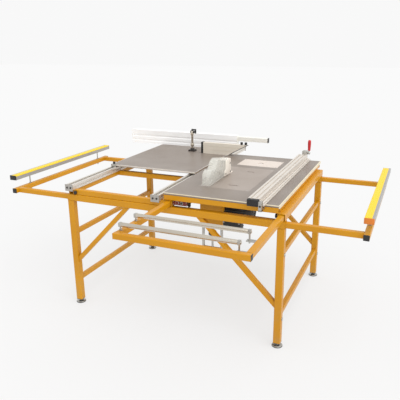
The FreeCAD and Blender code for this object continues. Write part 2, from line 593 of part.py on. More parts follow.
def make_saw_unit():
    left, right = across(S.post_left), across(S.post_right)
    middle = (left + right) / 2
    y = along(S.lift_y)
    gap = S.running_gap
    thick = S.hanger_thick
    span = (left - 2 * thick, right + 2 * thick)
    posts = (("left", left), ("right", right))
    node("lift_posts", *[rod(f"{side}_lift_post", "z", (x, y), S.lift_post_radius, S.lift_foot, top_under)
                         for side, x in posts])
    foot_top = S.lift_foot + 2 * thick
    holes = [rod(f"{side}_hanger_hole", "z", (x, y), S.lift_post_radius, S.lift_foot - 1, top_under + 1)
             for side, x in posts]
    holes.append(rod("hanger_screw_hole", "z", (middle, y), S.screw_radius + gap, foot_top, top_under - 2))
    front, back = y - 3 * thick, y + 2 * thick
    plate_top = top_under - 8
    top_flange = block("hanger_top", (left - 8 * thick, span[1]), (front, back), (plate_top, top_under))
    front_plate = block("hanger_front", span, (front, front + thick),
                        (top_under - S.hanger_drop, plate_top))
    foot = block("hanger_foot", span, around(y, 28), (S.lift_foot, foot_top))
    hanger = cut("hanger_upper", join("hanger_bent", top_flange, front_plate), *holes)
    screw_seat = S.lift_foot + 4
    foot_holes = [rod(f"{side}_foot_hole", "z", (x, y), S.lift_post_radius, S.lift_foot - 1, foot_top + 1)
                  for side, x in posts]
    foot_holes.append(rod("screw_foot_hole", "z", (middle, y), S.screw_radius + gap, screw_seat,
                          foot_top + 1))
    node("saw_hanger", hanger, cut("hanger_lower", foot, *foot_holes))

    node("lift_screw", rod("screw", "z", (middle, y), S.screw_radius, screw_seat + 0.3, top_under - 2.3))
    knob = rod("knob_rim", "z", (middle, y), S.lift_knob_radius, S.lift_knob_low, S.lift_knob_high)
    knob_bore = rod("knob_bore", "z", (middle, y), S.screw_radius, S.lift_knob_low - 1,
                    S.lift_knob_high + 1)
    node("lift_knob", cut("knob", knob, knob_bore))

    axis_y, axis_z = along(S.blade_y), S.arbor_height
    face = across(S.motor_face)
    wing_x = (face - S.wing_thick, face)
    slab_y = around(y, S.slab_thick)
    slab = block("carriage_slab", span, slab_y, around(axis_z, 90))
    wing = block("carriage_wing", wing_x, (slab_y[0], axis_y + S.wing_end), (axis_z - 45, axis_z + 50))
    low_wing = block("carriage_low_wing", wing_x, (axis_y - 50, axis_y + S.wing_end),
                     (S.gear_case_foot, axis_z))
    deep = (axis_z - 80, axis_z + 80)
    bores = [rod(f"{side}_slab_bore", "z", (x, y), S.lift_post_radius + gap, *deep) for side, x in posts]
    bores.append(rod("nut_bore", "z", (middle, y), S.screw_radius + gap, *deep))
    bores.append(rod("arbor_window", "x", (axis_y, axis_z), 30, wing_x[0] - 1, face + 1))
    node("saw_carriage", cut("carriage", join("carriage_blank", slab, wing, low_wing), *bores))

    # The motor hangs below the arbor, behind a case that holds the gears between them.
    case_end, tail = face + S.gear_case, face + S.motor_length
    fan_start = tail - S.fan_cover
    case = rounded("gear_case", block("gear_case_blank", (face, case_end), around(axis_y, 120),
                                      (S.gear_case_foot, S.gear_case_top)), "x", 6 * S.tube_corner)
    can = rod("motor_can", "x", (axis_y, S.motor_height), S.motor_radius, case_end - 1, fan_start)
    fan = rod("motor_fan_cover", "x", (axis_y, S.motor_height), S.motor_radius - 5, fan_start - 1, tail)
    box_start = face + S.motor_box_start
    box = block("motor_box", (box_start, box_start + S.motor_box_length), around(axis_y, 60),
                (S.motor_box_low, S.motor_box_high))
    seat = rod("arbor_seat", "x", (axis_y, axis_z), S.arbor_radius + gap, face - 1, face + 32)
    node("motor", cut("motor_body", join("motor_blank", case, can, fan, box), seat))

    blade_x = across(S.blade_x)
    half = S.blade_thick / 2
    shaft = rod("arbor_rod", "x", (axis_y, axis_z), S.arbor_radius, blade_x - 18, face + 30)
    flange = rod("inner_flange", "x", (axis_y, axis_z), S.flange_radius, blade_x + half, blade_x + half + 8)
    outer = rod("outer_flange", "x", (axis_y, axis_z), S.flange_radius, blade_x - half - 6, blade_x - half)
    nut = hexagon("arbor_nut", "x", (axis_y, axis_z), 19, blade_x - half - 16, blade_x - half - 6)
    node("saw_arbor", join("arbor", shaft, flange, outer, nut))

    teeth = SIZES["teeth"]
    rim = []
    for tooth in range(teeth):
        for turn, reach in ((0, 1), (0.35, 0.985), (0.8, 0.945)):
            angle = 2 * math.pi * (tooth + turn) / teeth
            rim.append((axis_y + S.blade_radius * (reach * math.cos(angle)),
                        axis_z + S.blade_radius * (reach * math.sin(angle))))
    disc = profile("blade_disc", "x", rim, blade_x - half, blade_x + half)
    bore = rod("blade_bore", "x", (axis_y, axis_z), S.arbor_radius, blade_x - 4, blade_x + 4)
    node("saw_blade", cut("blade", disc, bore))


def make_guard():
    middle = across(S.blade_x)
    x = around(middle, S.guard_width)
    low = S.top_height + S.guard_gap
    wall = S.guard_wall
    front, end = along(S.guard_front), along(S.guard_end)
    crown_y = along(S.crown_y)

    def lobes(name, inset, sides, floor):
        nose = rod(name + "_nose", "x", (along(S.nose_y), low + S.nose_rise), S.nose_radius - inset, *sides)
        crown = rod(name + "_crown", "x", (crown_y, low + S.crown_rise), S.crown_radius - inset, *sides)
        shoulder = block(name + "_shoulder", sides, (crown_y, along(S.shoulder_end) - inset),
                         (floor, low + S.shoulder_rise - inset))
        rear = block(name + "_rear", sides, (along(S.rear_start), end - inset),
                     (floor, low + S.rear_rise - inset))
        skirt = block(name + "_skirt", sides, (front + inset, crown_y), (floor, low + S.nose_rise + 2))
        return join(name + "_lobes", nose, crown, shoulder, rear, skirt)

    inside = (x[0] + wall, x[1] - wall)
    outer = lobes("guard", 0, x, low)
    inner = lobes("guard_inside", wall, inside, low - 5)
    below = block("guard_below", (x[0] - 5, x[1] + 5), (front - 60, end + 60), (low - 90, low))
    open_rear = block("guard_rear_gap", inside, (end - 58, end + 60),
                      (low - 5, low + S.rear_rise - wall - 1))
    pin_y, pin_z = along(S.guard_pin_y), low + S.guard_pin_rise
    pin_x = (x[0] - 2, x[1] + 2)
    pin_hole = rod("guard_pin_hole", "x", (pin_y, pin_z), S.guard_pin_radius + S.running_gap, *pin_x)
    node("blade_guard", cut("guard_shell", outer, inner, below, open_rear, pin_hole))
    depth = S.guard_post_depth
    post = block("guard_post", around(middle, S.guard_post_width), around(pin_y, depth),
                 (S.top_height, pin_z + 10))
    foot = block("guard_foot", around(middle, S.guard_post_width + 6),
                 (pin_y - depth / 2 - 3, pin_y + 2.6 * depth),
                 (S.top_height, low - 2))
    pin = rod("guard_pin", "x", (pin_y, pin_z), S.guard_pin_radius, *pin_x)
    node("guard_bracket", join("guard_mount", post, foot, pin))


# ---- switch ----

def make_switch():
    x = (across(S.switch_left), across(S.switch_right))
    y = (along(S.switch_front), along(S.switch_back))
    z = (sleeve_top - S.switch_height, sleeve_top)
    mid = (z[0] + z[1]) / 2
    case = rounded("switch_case", block("switch_blank", x, y, z), "y", S.tube_corner)
    buttons = (("start_button", across(S.start_x), S.start_radius),
               ("stop_button", across(S.stop_x), S.stop_radius))
    wells = [rod(name + "_well", "y", (place, mid), radius + 0.3, y[0] - 1, y[0] + 16)
             for name, place, radius in buttons]
    gland = (across(S.gland_x), along(S.gland_y))
    gland_hole = rod("gland_hole", "z", gland, 6, z[0] - 1, z[0] + 9)
    node("switch_box", cut("switch_housing", case, *wells, gland_hole))
    for name, place, radius in buttons:
        node(name, rod(name + "_cap", "y", (place, mid), radius, y[0] - 6, y[0] + 10))
    thread = rod("gland_thread", "z", gland, 5.99, z[0] - 10, z[0] + 8)
    nut = hexagon("gland_nut", "z", gland, 10, z[0] - 14, z[0])
    tail = rod("gland_tail", "z", gland, 7, z[0] - 20, z[0] - 10)
    mouth = rod("gland_mouth", "z", gland, S.cable_radius, z[0] - 21, z[0] + 9)
    node("cable_gland", cut("gland", join("gland_blank", thread, nut, tail), mouth))


# ---- lock knobs ----

def make_lock_knobs():
    gap = 0.4
    z = beam_top + S.bearer_size / 2
    face = front_y - S.bearer_size / 2
    rail_knob = (across(S.rail_knob_offset), z)
    node("rail_lock_knob", join("rail_knob",
                                rod("rail_knob_head", "y", rail_knob, S.knob_head, face - S.knob_depth,
                                    face - gap),
                                rod("rail_knob_stud", "y", rail_knob, S.knob_stud, face - 2, face + 6)))
    side = right_x - S.leg_size / 2
    sleeve_knob = (along(S.sleeve_knob_offset), beam_top + S.leg_size / 2)
    node("sleeve_lock_knob", join("sleeve_knob",
                                  rod("sleeve_knob_head", "x", sleeve_knob, S.knob_head + 1,
                                      side - S.knob_depth - 4, side - gap),
                                  rod("sleeve_knob_stud", "x", sleeve_knob, S.knob_stud, side - 2,
                                      side + 3.5)))


# ---- extensions ----

def make_side_extension(side):
    sign = SIDES[side]

    def span(near, far):
        low, high = sorted((size(near) * sign, size(far) * sign), key=lambda edge: edge.value)
        return low, high

    mid_z = S.beam_bottom + S.leg_size / 2
    inner_face = S.cross_outer - S.arm_size
    arm_x = span(right_x - S.side_arm_inside, inner_face)
    arm_z = around(mid_z, S.arm_size)
    node(side + "_arms", *[tube(f"{side}_{end}_arm", "x", arm_x, around(y, S.arm_size), arm_z)
                           for end, y in (("front", front_y), ("rear", rear_y))])
    cross_y = (front_y - S.cross_overhang, rear_y + S.cross_overhang)
    cross_x = span(inner_face, S.cross_outer)
    cross = tube(side + "_cross", "y", cross_x, cross_y, arm_z)
    bar_y = (along(S.bar_front), along(S.bar_front + S.bar_length))
    bar_z = (S.bar_top - S.bar_height, S.bar_top)
    post_x = (cross_x[0] + cross_x[1]) / 2
    holes, posts = [], []
    for count, y in enumerate((bar_y[0] + S.bar_post_inset, bar_y[1] - S.bar_post_inset)):
        low, high = arm_z
        holes.append(rod(f"{side}_post_hole_{count}", "z", (post_x, y), S.post_stem + 0.3, low - 1,
                         high + 1))
        stem = rod(f"{side}_post_stem_{count}", "z", (post_x, y), S.post_stem, low - 2 * S.nut_thick,
                   bar_z[0])
        nuts = [hexagon(f"{side}_post_nut_{count}_{level}", "z", (post_x, y), S.post_nut, start,
                        start + S.nut_thick)
                for level, start in (("low", low - S.nut_thick), ("high", high))]
        posts.append(join(f"{side}_post_{count}", stem, *nuts))
    node(side + "_cross_tube", cut(side + "_cross_drilled", cross, *holes))
    node(side + "_bar_posts", *posts)
    bar_x = span(S.bar_inner, S.bar_inner + S.bar_width)
    node(side + "_support_bar", tube(side + "_bar", "y", bar_x, bar_y, bar_z))
    caps = []
    for name, x, y, z in (("cross", cross_x, cross_y, arm_z), ("bar", bar_x, bar_y, bar_z)):
        for end, low, high in (("front", y[0] - S.end_cap, y[0]), ("rear", y[1], y[1] + S.end_cap)):
            blank = block(f"{side}_{name}_{end}_cap_blank", x, (low, high), z)
            caps.append(rounded(f"{side}_{name}_{end}_cap", blank, "y", S.tube_corner))
    node(side + "_end_caps", *caps)


def make_front_extension():
    left, right = across(S.sleeve_offset), right_x
    mid_z = beam_top + S.leg_size / 2
    arm_z = around(mid_z, S.arm_size)
    near = along(-S.front_reach)
    node("front_arms", *[tube(f"front_arm_{side}", "y", around(x, S.arm_size),
                              (near + S.arm_size, along(S.front_arm_inside)), arm_z)
                         for side, x in (("left", left), ("right", right))])
    half = S.arm_size / 2
    node("front_cross_tube", tube("front_cross", "x", (left - half, right + half),
                                  (near, near + S.arm_size), arm_z))
    # The left posts stand on the left arm, the right ones on tabs that reach in from the right arm.
    posts = []
    gap = S.running_gap
    post_x = {"left": left, "right": right - S.roller_right_inset}
    arm_low, arm_high = arm_z
    for name, offset in (("front", S.front_roller_y), ("rear", S.rear_roller_y)):
        y, z = along(offset), S.roller_height
        for side, x in post_x.items():
            if side == "left":
                foot = hexagon(f"{name}_left_roller_nut", "z", (x, y), S.post_nut, arm_high,
                               arm_high + S.nut_thick)
                stem_low = arm_high
            else:
                foot = block(f"{name}_right_roller_tab", (x - 13, right - half), around(y, 26),
                             around(mid_z, 5))
                stem_low = arm_low + 3
            stem = rod(f"{name}_{side}_roller_stem", "z", (x, y), S.post_stem, stem_low, z - 8)
            eye = block(f"{name}_{side}_roller_eye", around(x, 12), around(y, 18), around(z, 20))
            hole = rod(f"{name}_{side}_roller_hole", "x", (y, z), S.post_stem + gap, x - 10, x + 10)
            posts.append(cut(f"{name}_{side}_roller_post", join(f"{name}_{side}_roller_lug", foot, stem,
                                                                eye), hole))
        tube_x = (post_x["left"] + S.roller_end_gap, post_x["right"] - S.roller_end_gap)
        shell = rod(name + "_roller_shell", "x", (y, z), S.roller_radius, *tube_x)
        core = rod(name + "_roller_core", "x", (y, z), S.roller_radius - 2, tube_x[0] + 8, tube_x[1] - 8)
        axle = rod(name + "_roller_axle", "x", (y, z), S.post_stem, post_x["left"] - 9, post_x["right"] + 9)
        node(name + "_roller", join(name + "_roller_tube", cut(name + "_roller_skin", shell, core), axle))
    node("roller_posts", *posts)


make_stand()
make_braces()
make_main_table()
make_rails()
make_sliding_table()
make_crosscut_fences()
make_hold_down()
make_rip_fence()
make_saw_unit()
make_guard()
make_switch()
make_lock_knobs()
for side in SIDES:
    make_side_extension(side)
make_front_extension()
doc.recompute()

faults = [item.Label for item in doc.Objects if {"Invalid", "Error"} & set(item.State)]
faults += [piece.Label for piece in nodes if piece.Shape.isNull() or not piece.Shape.isValid()]
if faults:
    raise RuntimeError("these did not build: " + ", ".join(faults))

os.makedirs("parts", exist_ok=True)
whole = FreeCAD.BoundBox()
for piece in nodes:
    piece.Shape.exportStep(f"parts/{piece.Label}.step")
    whole.add(piece.Shape.BoundBox)
print(len(nodes), "pieces;", whole)
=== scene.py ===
# %% [markdown]
# # A sliding-table panel saw
# The saw stands on a tubular frame painted yellow. A grey top is fixed on its right, a second one rolls
# on two aluminium rails on its left, and work supports pull out on three sides. The hard shapes come
# ready-made from a CAD model, so this lesson loads them as a fixed frame, gives each one a finish, and
# models the pieces that need a closer look.

# %% Load the frame
import math

import bpy
from mathutils import Matrix, Vector


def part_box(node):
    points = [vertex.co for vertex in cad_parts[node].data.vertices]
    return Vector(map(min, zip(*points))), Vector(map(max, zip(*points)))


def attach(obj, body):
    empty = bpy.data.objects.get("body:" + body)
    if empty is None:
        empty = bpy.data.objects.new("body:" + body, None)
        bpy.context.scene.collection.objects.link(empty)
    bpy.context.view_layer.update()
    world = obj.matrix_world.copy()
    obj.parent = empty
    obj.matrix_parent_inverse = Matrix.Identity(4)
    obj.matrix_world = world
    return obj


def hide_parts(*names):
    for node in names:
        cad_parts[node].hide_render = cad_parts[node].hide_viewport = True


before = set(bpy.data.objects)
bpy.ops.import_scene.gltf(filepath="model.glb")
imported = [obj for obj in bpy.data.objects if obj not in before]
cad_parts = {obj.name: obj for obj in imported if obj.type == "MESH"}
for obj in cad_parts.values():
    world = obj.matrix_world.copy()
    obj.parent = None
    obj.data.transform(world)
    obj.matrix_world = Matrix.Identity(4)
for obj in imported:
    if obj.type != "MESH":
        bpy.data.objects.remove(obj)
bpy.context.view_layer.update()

MM = 0.001

# %% [markdown]
# ## The camera
# A lens of about 45 mm stands back to the right of the saw at a little over head height, and looks down
# on the tops. A longer lens would flatten the rails and a shorter one would splay the legs.

# %% Camera
ROLL = math.radians(-0.6)
bpy.ops.object.select_all(action="DESELECT")
bpy.ops.object.camera_add(
    location=(1.25695, -2.84547, 1.61599),
    rotation=(math.radians(72.57), 0, math.radians(23.82)),
)
camera = bpy.context.object
camera.data.lens = 45.46
level = camera.rotation_euler.to_matrix()
camera.rotation_euler = (level @ Matrix.Rotation(ROLL, 3, "Z")).to_euler()
camera.data.clip_end = 60
bpy.context.scene.camera = camera
print("camera lens:", round(camera.data.lens, 1), "mm")

# %% [markdown]
# ## Floor and light
# Pale paint and bare aluminium both show best in a bright tent. The world gives an even white from
# everywhere. One very wide, soft sun from high on the right gives the tops their light and leaves the
# front faces of the legs darker. The floor is a backlit acrylic sheet, as for a catalogue, so shadows on
# it stay faint.

# %% Floor
bpy.ops.object.select_all(action="DESELECT")
bpy.ops.mesh.primitive_plane_add(size=60, location=(0, 0, -0.0005))
floor = bpy.context.object
floor.name = "floor"

# %% Lights
TENT, SUN, SUN_WIDTH = 0.94, 1.9, 70
SUN_PLACE = Vector((2.2, -1.3, 3.0))
world = bpy.data.worlds.new("tent")
bpy.context.scene.world = world
world.use_nodes = True
world.node_tree.nodes["Background"].inputs["Color"].default_value = (1, 1, 1, 1)
world.node_tree.nodes["Background"].inputs["Strength"].default_value = TENT
bpy.ops.object.light_add(type="SUN", location=SUN_PLACE)
sun = bpy.context.object
sun.data.energy = SUN
sun.data.angle = math.radians(SUN_WIDTH)
sun.rotation_euler = SUN_PLACE.to_track_quat("Z", "Y").to_euler()
bpy.context.scene.view_settings.view_transform = "Standard"

# %% [markdown]
# ## Writing shaders as sums
# A node tree is easier to read as arithmetic. A Wire holds one output of a node, and adding or
# multiplying wires adds Math nodes. A Finish is a material being made: its one method `add` makes any
# other node.

# %% Wires and finishes
class Wire:
    """One output of a shader node, which Python's operators join to others through Math nodes."""

    def __init__(self, finish, output):
        self.finish, self.output = finish, output

    def __add__(self, other):
        return self.finish.maths("ADD", self, other)

    def __sub__(self, other):
        return self.finish.maths("SUBTRACT", self, other)

    def __rsub__(self, other):
        return self.finish.maths("SUBTRACT", other, self)

    def __mul__(self, other):
        return self.finish.maths("MULTIPLY", self, other)

    __radd__ = __add__
    __rmul__ = __mul__


class Finish:
    """A material being made, with Object coordinates ready for its patterns."""

    def __init__(self, name, **fixed):
        self.material = bpy.data.materials.new(name)
        self.material.use_nodes = True
        self.tree = self.material.node_tree
        self.shader = self.tree.nodes["Principled BSDF"]
        self.place = self.add("ShaderNodeTexCoord", output="Object")
        for socket, value in fixed.items():
            self.shader.inputs[socket.replace("_", " ")].default_value = value

    def add(self, kind, settings=(), inputs=(), output=0):
        """Adds a node, gives it its settings, then its values and links, and returns one output."""
        node = self.tree.nodes.new(kind)
        for key, value in dict(settings).items():
            setattr(node, key, value)
        for key, value in dict(inputs).items():
            if isinstance(value, Wire):
                self.tree.links.new(value.output, node.inputs[key])
            else:
                node.inputs[key].default_value = value
        return Wire(self, node.outputs[output])

    def maths(self, operation, first, second):
        return self.add("ShaderNodeMath", {"operation": operation}, {0: first, 1: second})

    def noise(self, scale, detail=3, stretch=(1, 1, 1), rough=0.5):
        """Noise of so many blobs a metre, finer along an axis where stretch is larger."""
        place = self.add("ShaderNodeMapping", {}, {"Vector": self.place, "Scale": stretch})
        inputs = {"Vector": place, "Scale": scale, "Detail": detail, "Roughness": rough}
        return self.add("ShaderNodeTexNoise", {}, inputs)

    def fit(self, value, low, high, start=0.0, end=1.0):
        """Maps low..high to start..end and cuts off what is outside."""
        inputs = {"Value": value, "From Min": low, "From Max": high, "To Min": start, "To Max": end}
        return self.add("ShaderNodeMapRange", {}, inputs)

    def height(self):
        """Height above the floor, in metres."""
        return self.add("ShaderNodeSeparateXYZ", {}, {0: self.place}, output="Z")

    def side(self):
        """Distance to the right of the saw's middle, in metres."""
        return self.add("ShaderNodeSeparateXYZ", {}, {0: self.place}, output="X")

    def mix(self, factor, first, second):
        """One colour over another."""
        return self.add("ShaderNodeMix", {"data_type": "RGBA"}, {0: factor, 6: first, 7: second}, output=2)

    def bump(self, height, depth, strength=1.0):
        """Feeds the shader's Normal from a height pattern of a depth in metres."""
        bumped = self.add("ShaderNodeBump", {}, {"Height": height, "Distance": depth, "Strength": strength})
        self.set(Normal=bumped)

    def set(self, **links):
        """Feeds the shader's sockets from outputs."""
        for socket, value in links.items():
            self.tree.links.new(value.output, self.shader.inputs[socket.replace("_", " ")])
        return self


def rgb(red, green, blue):
    """A colour given as it looks on screen, 0 to 255, turned into the linear values that shaders use."""
    linear = [((c / 255 + 0.055) / 1.055) ** 2.4 for c in (red, green, blue)]
    return (*linear, 1.0)


def darker(tone, share):
    """A colour with so large a share of its light left."""
    return [part * share for part in tone[:3]] + [1]


# %% [markdown]
# ## Powder coat
# The stand's paint is a baked powder. Up close it has the fine ripple called orange peel, a gloss that
# varies where it was cured unevenly, a little dust low down, and small chips through to the steel. Each
# of those is one noise at its own scale, so the paint looks right from across the room and from a hand's
# breadth.

# %% Powder coat
def powder_coat(name, paint, shade):
    """Yellow paint, its darker tone, chips to bare steel and dust near the floor."""
    finish = Finish(name, Specular_IOR_Level=0.3)
    drift = finish.fit(finish.noise(2.2, 2), 0.35, 0.65)
    colour = finish.mix(drift, paint, shade)
    speck = finish.fit(finish.noise(420, 2), 0.3, 0.7, 0.0, 0.10)
    colour = finish.mix(speck, colour, rgb(235, 180, 70))
    dust = finish.fit(finish.height(), 0.02, 0.30, 0.30, 0.0) * finish.fit(finish.noise(22, 4), 0.4, 0.7)
    colour = finish.mix(dust, colour, rgb(150, 135, 112))
    chip = finish.fit(finish.noise(46, 5, rough=0.65), 0.735, 0.75)
    colour = finish.mix(chip, colour, rgb(105, 100, 96))
    rough = finish.fit(finish.noise(30, 3), 0.3, 0.7, 0.28, 0.42) + dust * 0.35 + chip * 0.2
    finish.set(Base_Color=colour, Roughness=rough, Metallic=chip * 0.8)
    finish.bump(finish.noise(900, 2) + finish.noise(260, 2) - chip * 1.5, 0.00008)
    return finish.material


yellow = powder_coat("yellow_paint", rgb(200, 139, 6), rgb(190, 129, 4))
print("powder coat nodes:", len(yellow.node_tree.nodes))

# %% [markdown]
# ## Extruded aluminium
# Rails and fences are pressed through a die, which leaves fine lines along the length. One noise is
# stretched along that axis for the lines, and a slower one gives the smears of hands and dust. The fences
# are nearly white under their lacquer, so they are given less metal than the rails.

# %% Extruded aluminium
def extruded(name, tone, rough, along, metal=0.85):
    """Anodised extrusion with the fine lines of its die running along one axis."""
    finish = Finish(name, Metallic=metal)
    lines = finish.noise(38, 4, stretch=[1 if axis == along else 45 for axis in "xyz"], rough=0.6)
    smear = finish.noise(5, 3, stretch=[1 if axis == along else 3 for axis in "xyz"])
    colour = finish.mix(finish.fit(lines, 0.3, 0.7, 0.0, 0.5), tone, darker(tone, 0.86))
    colour = finish.mix(finish.fit(smear, 0.5, 0.75, 0.0, 0.22), colour, rgb(172, 166, 158))
    finish.set(Base_Color=colour, Roughness=finish.fit(smear, 0.3, 0.7, rough, rough + 0.14))
    finish.bump(lines, 0.00006, 0.6)
    return finish.material


rail_silver = extruded("rail_aluminium", rgb(226, 221, 213), 0.34, "y", 0.7)
trim_silver = extruded("trim_aluminium", rgb(232, 222, 196), 0.4, "y", 0.35)
rip_silver = extruded("rip_aluminium", rgb(226, 219, 210), 0.38, "y", 0.6)
fence_silver = extruded("fence_aluminium", rgb(250, 250, 250), 0.42, "x", 0.05)
fence_cream = extruded("fence_cream_aluminium", rgb(229, 221, 207), 0.4, "x", 0.3)
bar_silver = extruded("bar_aluminium", rgb(240, 239, 232), 0.4, "x", 0.2)
print("aluminium nodes:", len(rail_silver.node_tree.nodes))

# %% [markdown]
# ## Support bars
# The pull-out bars are grey extrusions with a bright yellow slide strip pressed into the inner part of
# the top. The strip is soft plastic, so it is not metallic, and boards have rubbed it lengthwise. Height
# and distance from the middle of the saw decide which of the two finishes a point has.

# %% Support bar finish
BLEND = 0.3 * MM


def slide_bar(name, strip, body, join_height, strip_edge):
    """Yellow above a height and inside a distance from the middle of the saw, grey metal elsewhere."""
    finish = Finish(name, Specular_IOR_Level=0.25)
    rub = finish.fit(finish.noise(30, 5, stretch=(12, 1, 12), rough=0.65), 0.52, 0.7)
    top = finish.mix(rub * 0.35, strip, darker(strip, 0.78))
    lines = finish.noise(38, 4, stretch=(45, 1, 45))
    side = finish.mix(finish.fit(lines, 0.3, 0.7), body, darker(body, 0.8))
    away = finish.maths("ABSOLUTE", finish.side(), 0)
    inner = finish.fit(away, strip_edge - BLEND, strip_edge + BLEND, 1, 0)
    upper = finish.fit(finish.height(), join_height - BLEND, join_height + BLEND) * inner
    finish.set(Base_Color=finish.mix(upper, side, top), Metallic=(1 - upper) * 0.6)
    finish.set(Roughness=finish.fit(rub, 0, 1, 0.36, 0.5))
    finish.bump(lines, 0.00006, 0.6)
    return finish.material


bar_yellow = slide_bar("support_bar", rgb(236, 200, 4), rgb(178, 176, 172), 0.8105, 1.094)
print("support bar nodes:", len(bar_yellow.node_tree.nodes))

# %% [markdown]
# ## Laminate tops
# The tops are coated board: hard, grey, and only half matt. A printed grain is the finest pattern, a
# cloud of wiping marks the broadest, and thin scratches run the way the boards are pushed. The plates let
# into the fixed top are the same sheet in two paler greys.

# %% Laminate tops
def laminate(name, tone, rough):
    """Hard grey sheet: a faint printed grain, swirls of wiping, fine scratches and dusty patches."""
    finish = Finish(name)
    grain = finish.noise(650, 2)
    cloud = finish.noise(3.5, 4)
    scratch = finish.fit(finish.noise(9, 6, stretch=(1, 30, 1), rough=0.7), 0.62, 0.66)
    colour = finish.mix(finish.fit(cloud, 0.35, 0.65, 0.0, 0.35), tone, darker(tone, 0.84))
    colour = finish.mix(finish.fit(grain, 0.35, 0.65, 0.0, 0.16), colour, rgb(196, 186, 176))
    colour = finish.mix(scratch * 0.12, colour, rgb(205, 198, 190))
    finish.set(Base_Color=colour, Roughness=finish.fit(cloud, 0.3, 0.7, rough, rough + 0.16) + scratch * 0.1)
    finish.bump(grain + scratch * -0.4, 0.00005)
    return finish.material


top_grey = laminate("table_laminate", rgb(122, 110, 100), 0.3)
blade_plate_grey = laminate("blade_plate_laminate", rgb(148, 135, 125), 0.3)
plate_grey = laminate("insert_laminate", rgb(214, 201, 190), 0.3)
print("laminates:", [m.name for m in (top_grey, blade_plate_grey, plate_grey)])

# %% [markdown]
# ## Metals and plastics
# Small fittings are zinc-plated steel, blackened steel or moulded plastic. Plating looks cloudy and
# plastic has a spark-eroded grain, so each is one noise for the colour and a finer one for the surface.

# %% Metals and plastics
def plain_metal(name, tone, rough, metal=1.0, grain=120):
    """Plated or ground steel, clouded so that no two hand-widths shine alike."""
    finish = Finish(name, Metallic=metal)
    cloud = finish.noise(grain, 4)
    colour = finish.mix(finish.fit(cloud, 0.35, 0.7, 0.0, 0.5), tone, darker(tone, 0.75))
    finish.set(Base_Color=colour, Roughness=finish.fit(cloud, 0.3, 0.7, rough, rough + 0.18))
    finish.bump(finish.noise(900, 3), 0.00004)
    return finish.material


def moulded(name, tone, rough, grain=1400):
    """Moulded plastic or rubber with a fine grain and a paler bloom in patches."""
    finish = Finish(name)
    cloud = finish.noise(18, 4)
    bloom = [min(1, part * 1.5 + 0.01) for part in tone[:3]] + [1]
    colour = finish.mix(finish.fit(cloud, 0.4, 0.7, 0.0, 0.45), tone, bloom)
    finish.set(Base_Color=colour, Roughness=finish.fit(cloud, 0.3, 0.7, rough, rough + 0.15))
    finish.bump(finish.noise(grain, 2), 0.0001, 0.5)
    return finish.material


zinc = plain_metal("zinc_steel", rgb(190, 188, 182), 0.30)
bright = plain_metal("bright_steel", rgb(206, 198, 184), 0.2, grain=14)
black = moulded("black_plastic", rgb(28, 27, 27), 0.42)
motor_black = moulded("motor_black", rgb(34, 34, 36), 0.38, 500)
red = moulded("red_plastic", rgb(178, 28, 32), 0.35)
cream = moulded("cream_plastic", rgb(226, 216, 204), 0.4)
rubber = moulded("foot_rubber", rgb(52, 50, 48), 0.7, 700)
nylon = moulded("wheel_nylon", rgb(208, 204, 194), 0.45, 600)
orange = moulded("orange_plastic", rgb(196, 110, 30), 0.42)
dark_red = moulded("switch_red", rgb(96, 26, 22), 0.45)
blade_steel = plain_metal("blade_steel", rgb(206, 204, 200), 0.22, grain=10)
dark_zinc = plain_metal("blackened_steel", rgb(70, 66, 64), 0.34, 0.8, grain=60)
end_grey = plain_metal("end_plate_steel", rgb(176, 172, 166), 0.32, 0.7, grain=40)

# %% [markdown]
# ## Clear plastic
# The guard is clear, yet it shows as a milky shape, because moulded plastic is never quite clean. It is
# made mostly see-through by its alpha, with a little more body where sawdust has scuffed it.

# %% Clear plastic
def clear_sheet(name, tone):
    """Moulded clear plastic, milky where it is thick and scuffed by sawdust."""
    finish = Finish(name, IOR=1.49, Coat_Weight=0.6, Base_Color=tone)
    scuff = finish.fit(finish.noise(30, 5, rough=0.65), 0.4, 0.7)
    finish.set(Roughness=finish.fit(scuff, 0, 1, 0.08, 0.3), Alpha=finish.fit(scuff, 0, 1, 0.27, 0.32))
    finish.bump(finish.noise(25, 2), 0.0002, 0.3)
    return finish.material


clear = clear_sheet("clear_guard", rgb(240, 240, 232))

# %% [markdown]
# ## Finishes on the CAD nodes
# Every node comes with a slot named for what it is made of, and that name picks the finish. A few nodes
# have a tone of their own, and theirs comes first.

# %% Give every CAD node its finish
FINISHES = {
    "yellow_paint": yellow, "table_top": top_grey, "insert_plate": plate_grey, "aluminium": rail_silver,
    "bar_aluminium": bar_yellow, "steel": zinc, "black_plastic": black, "motor_black": motor_black,
    "clear_plastic": clear, "guard_mount": cream, "red_plastic": red,
}
OWN = {
    "blade_plate": blade_plate_grey, "long_fence": fence_silver, "fence_extension": bar_silver,
    "short_fence": fence_cream, "rip_fence": rip_silver, "table_edge_trim": trim_silver,
    "rail_end_plates": end_grey, "saw_blade": blade_steel, "start_button": dark_zinc, "stop_button": dark_red,
    "front_roller": bright, "rear_roller": bright,
}
given = 0
for node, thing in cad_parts.items():
    for slot in thing.material_slots:
        slot.material = OWN.get(node) or FINISHES[slot.material.name.split(".")[0]]
        given += 1
print("finishes given to", given, "slots of", len(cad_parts), "nodes")

# %% [markdown]
# ## Modelling
# The small pieces are made the way a turner or a sheet-metal worker would. Sizes are in millimetres in
# the frame of the CAD model, and every helper leaves its piece unrotated and unscaled with its place in
# the mesh.

# %% Helpers that make shapes
UP = {"x": (0, math.pi / 2, 0), "y": (-math.pi / 2, 0, 0), "z": (0, 0, 0)}


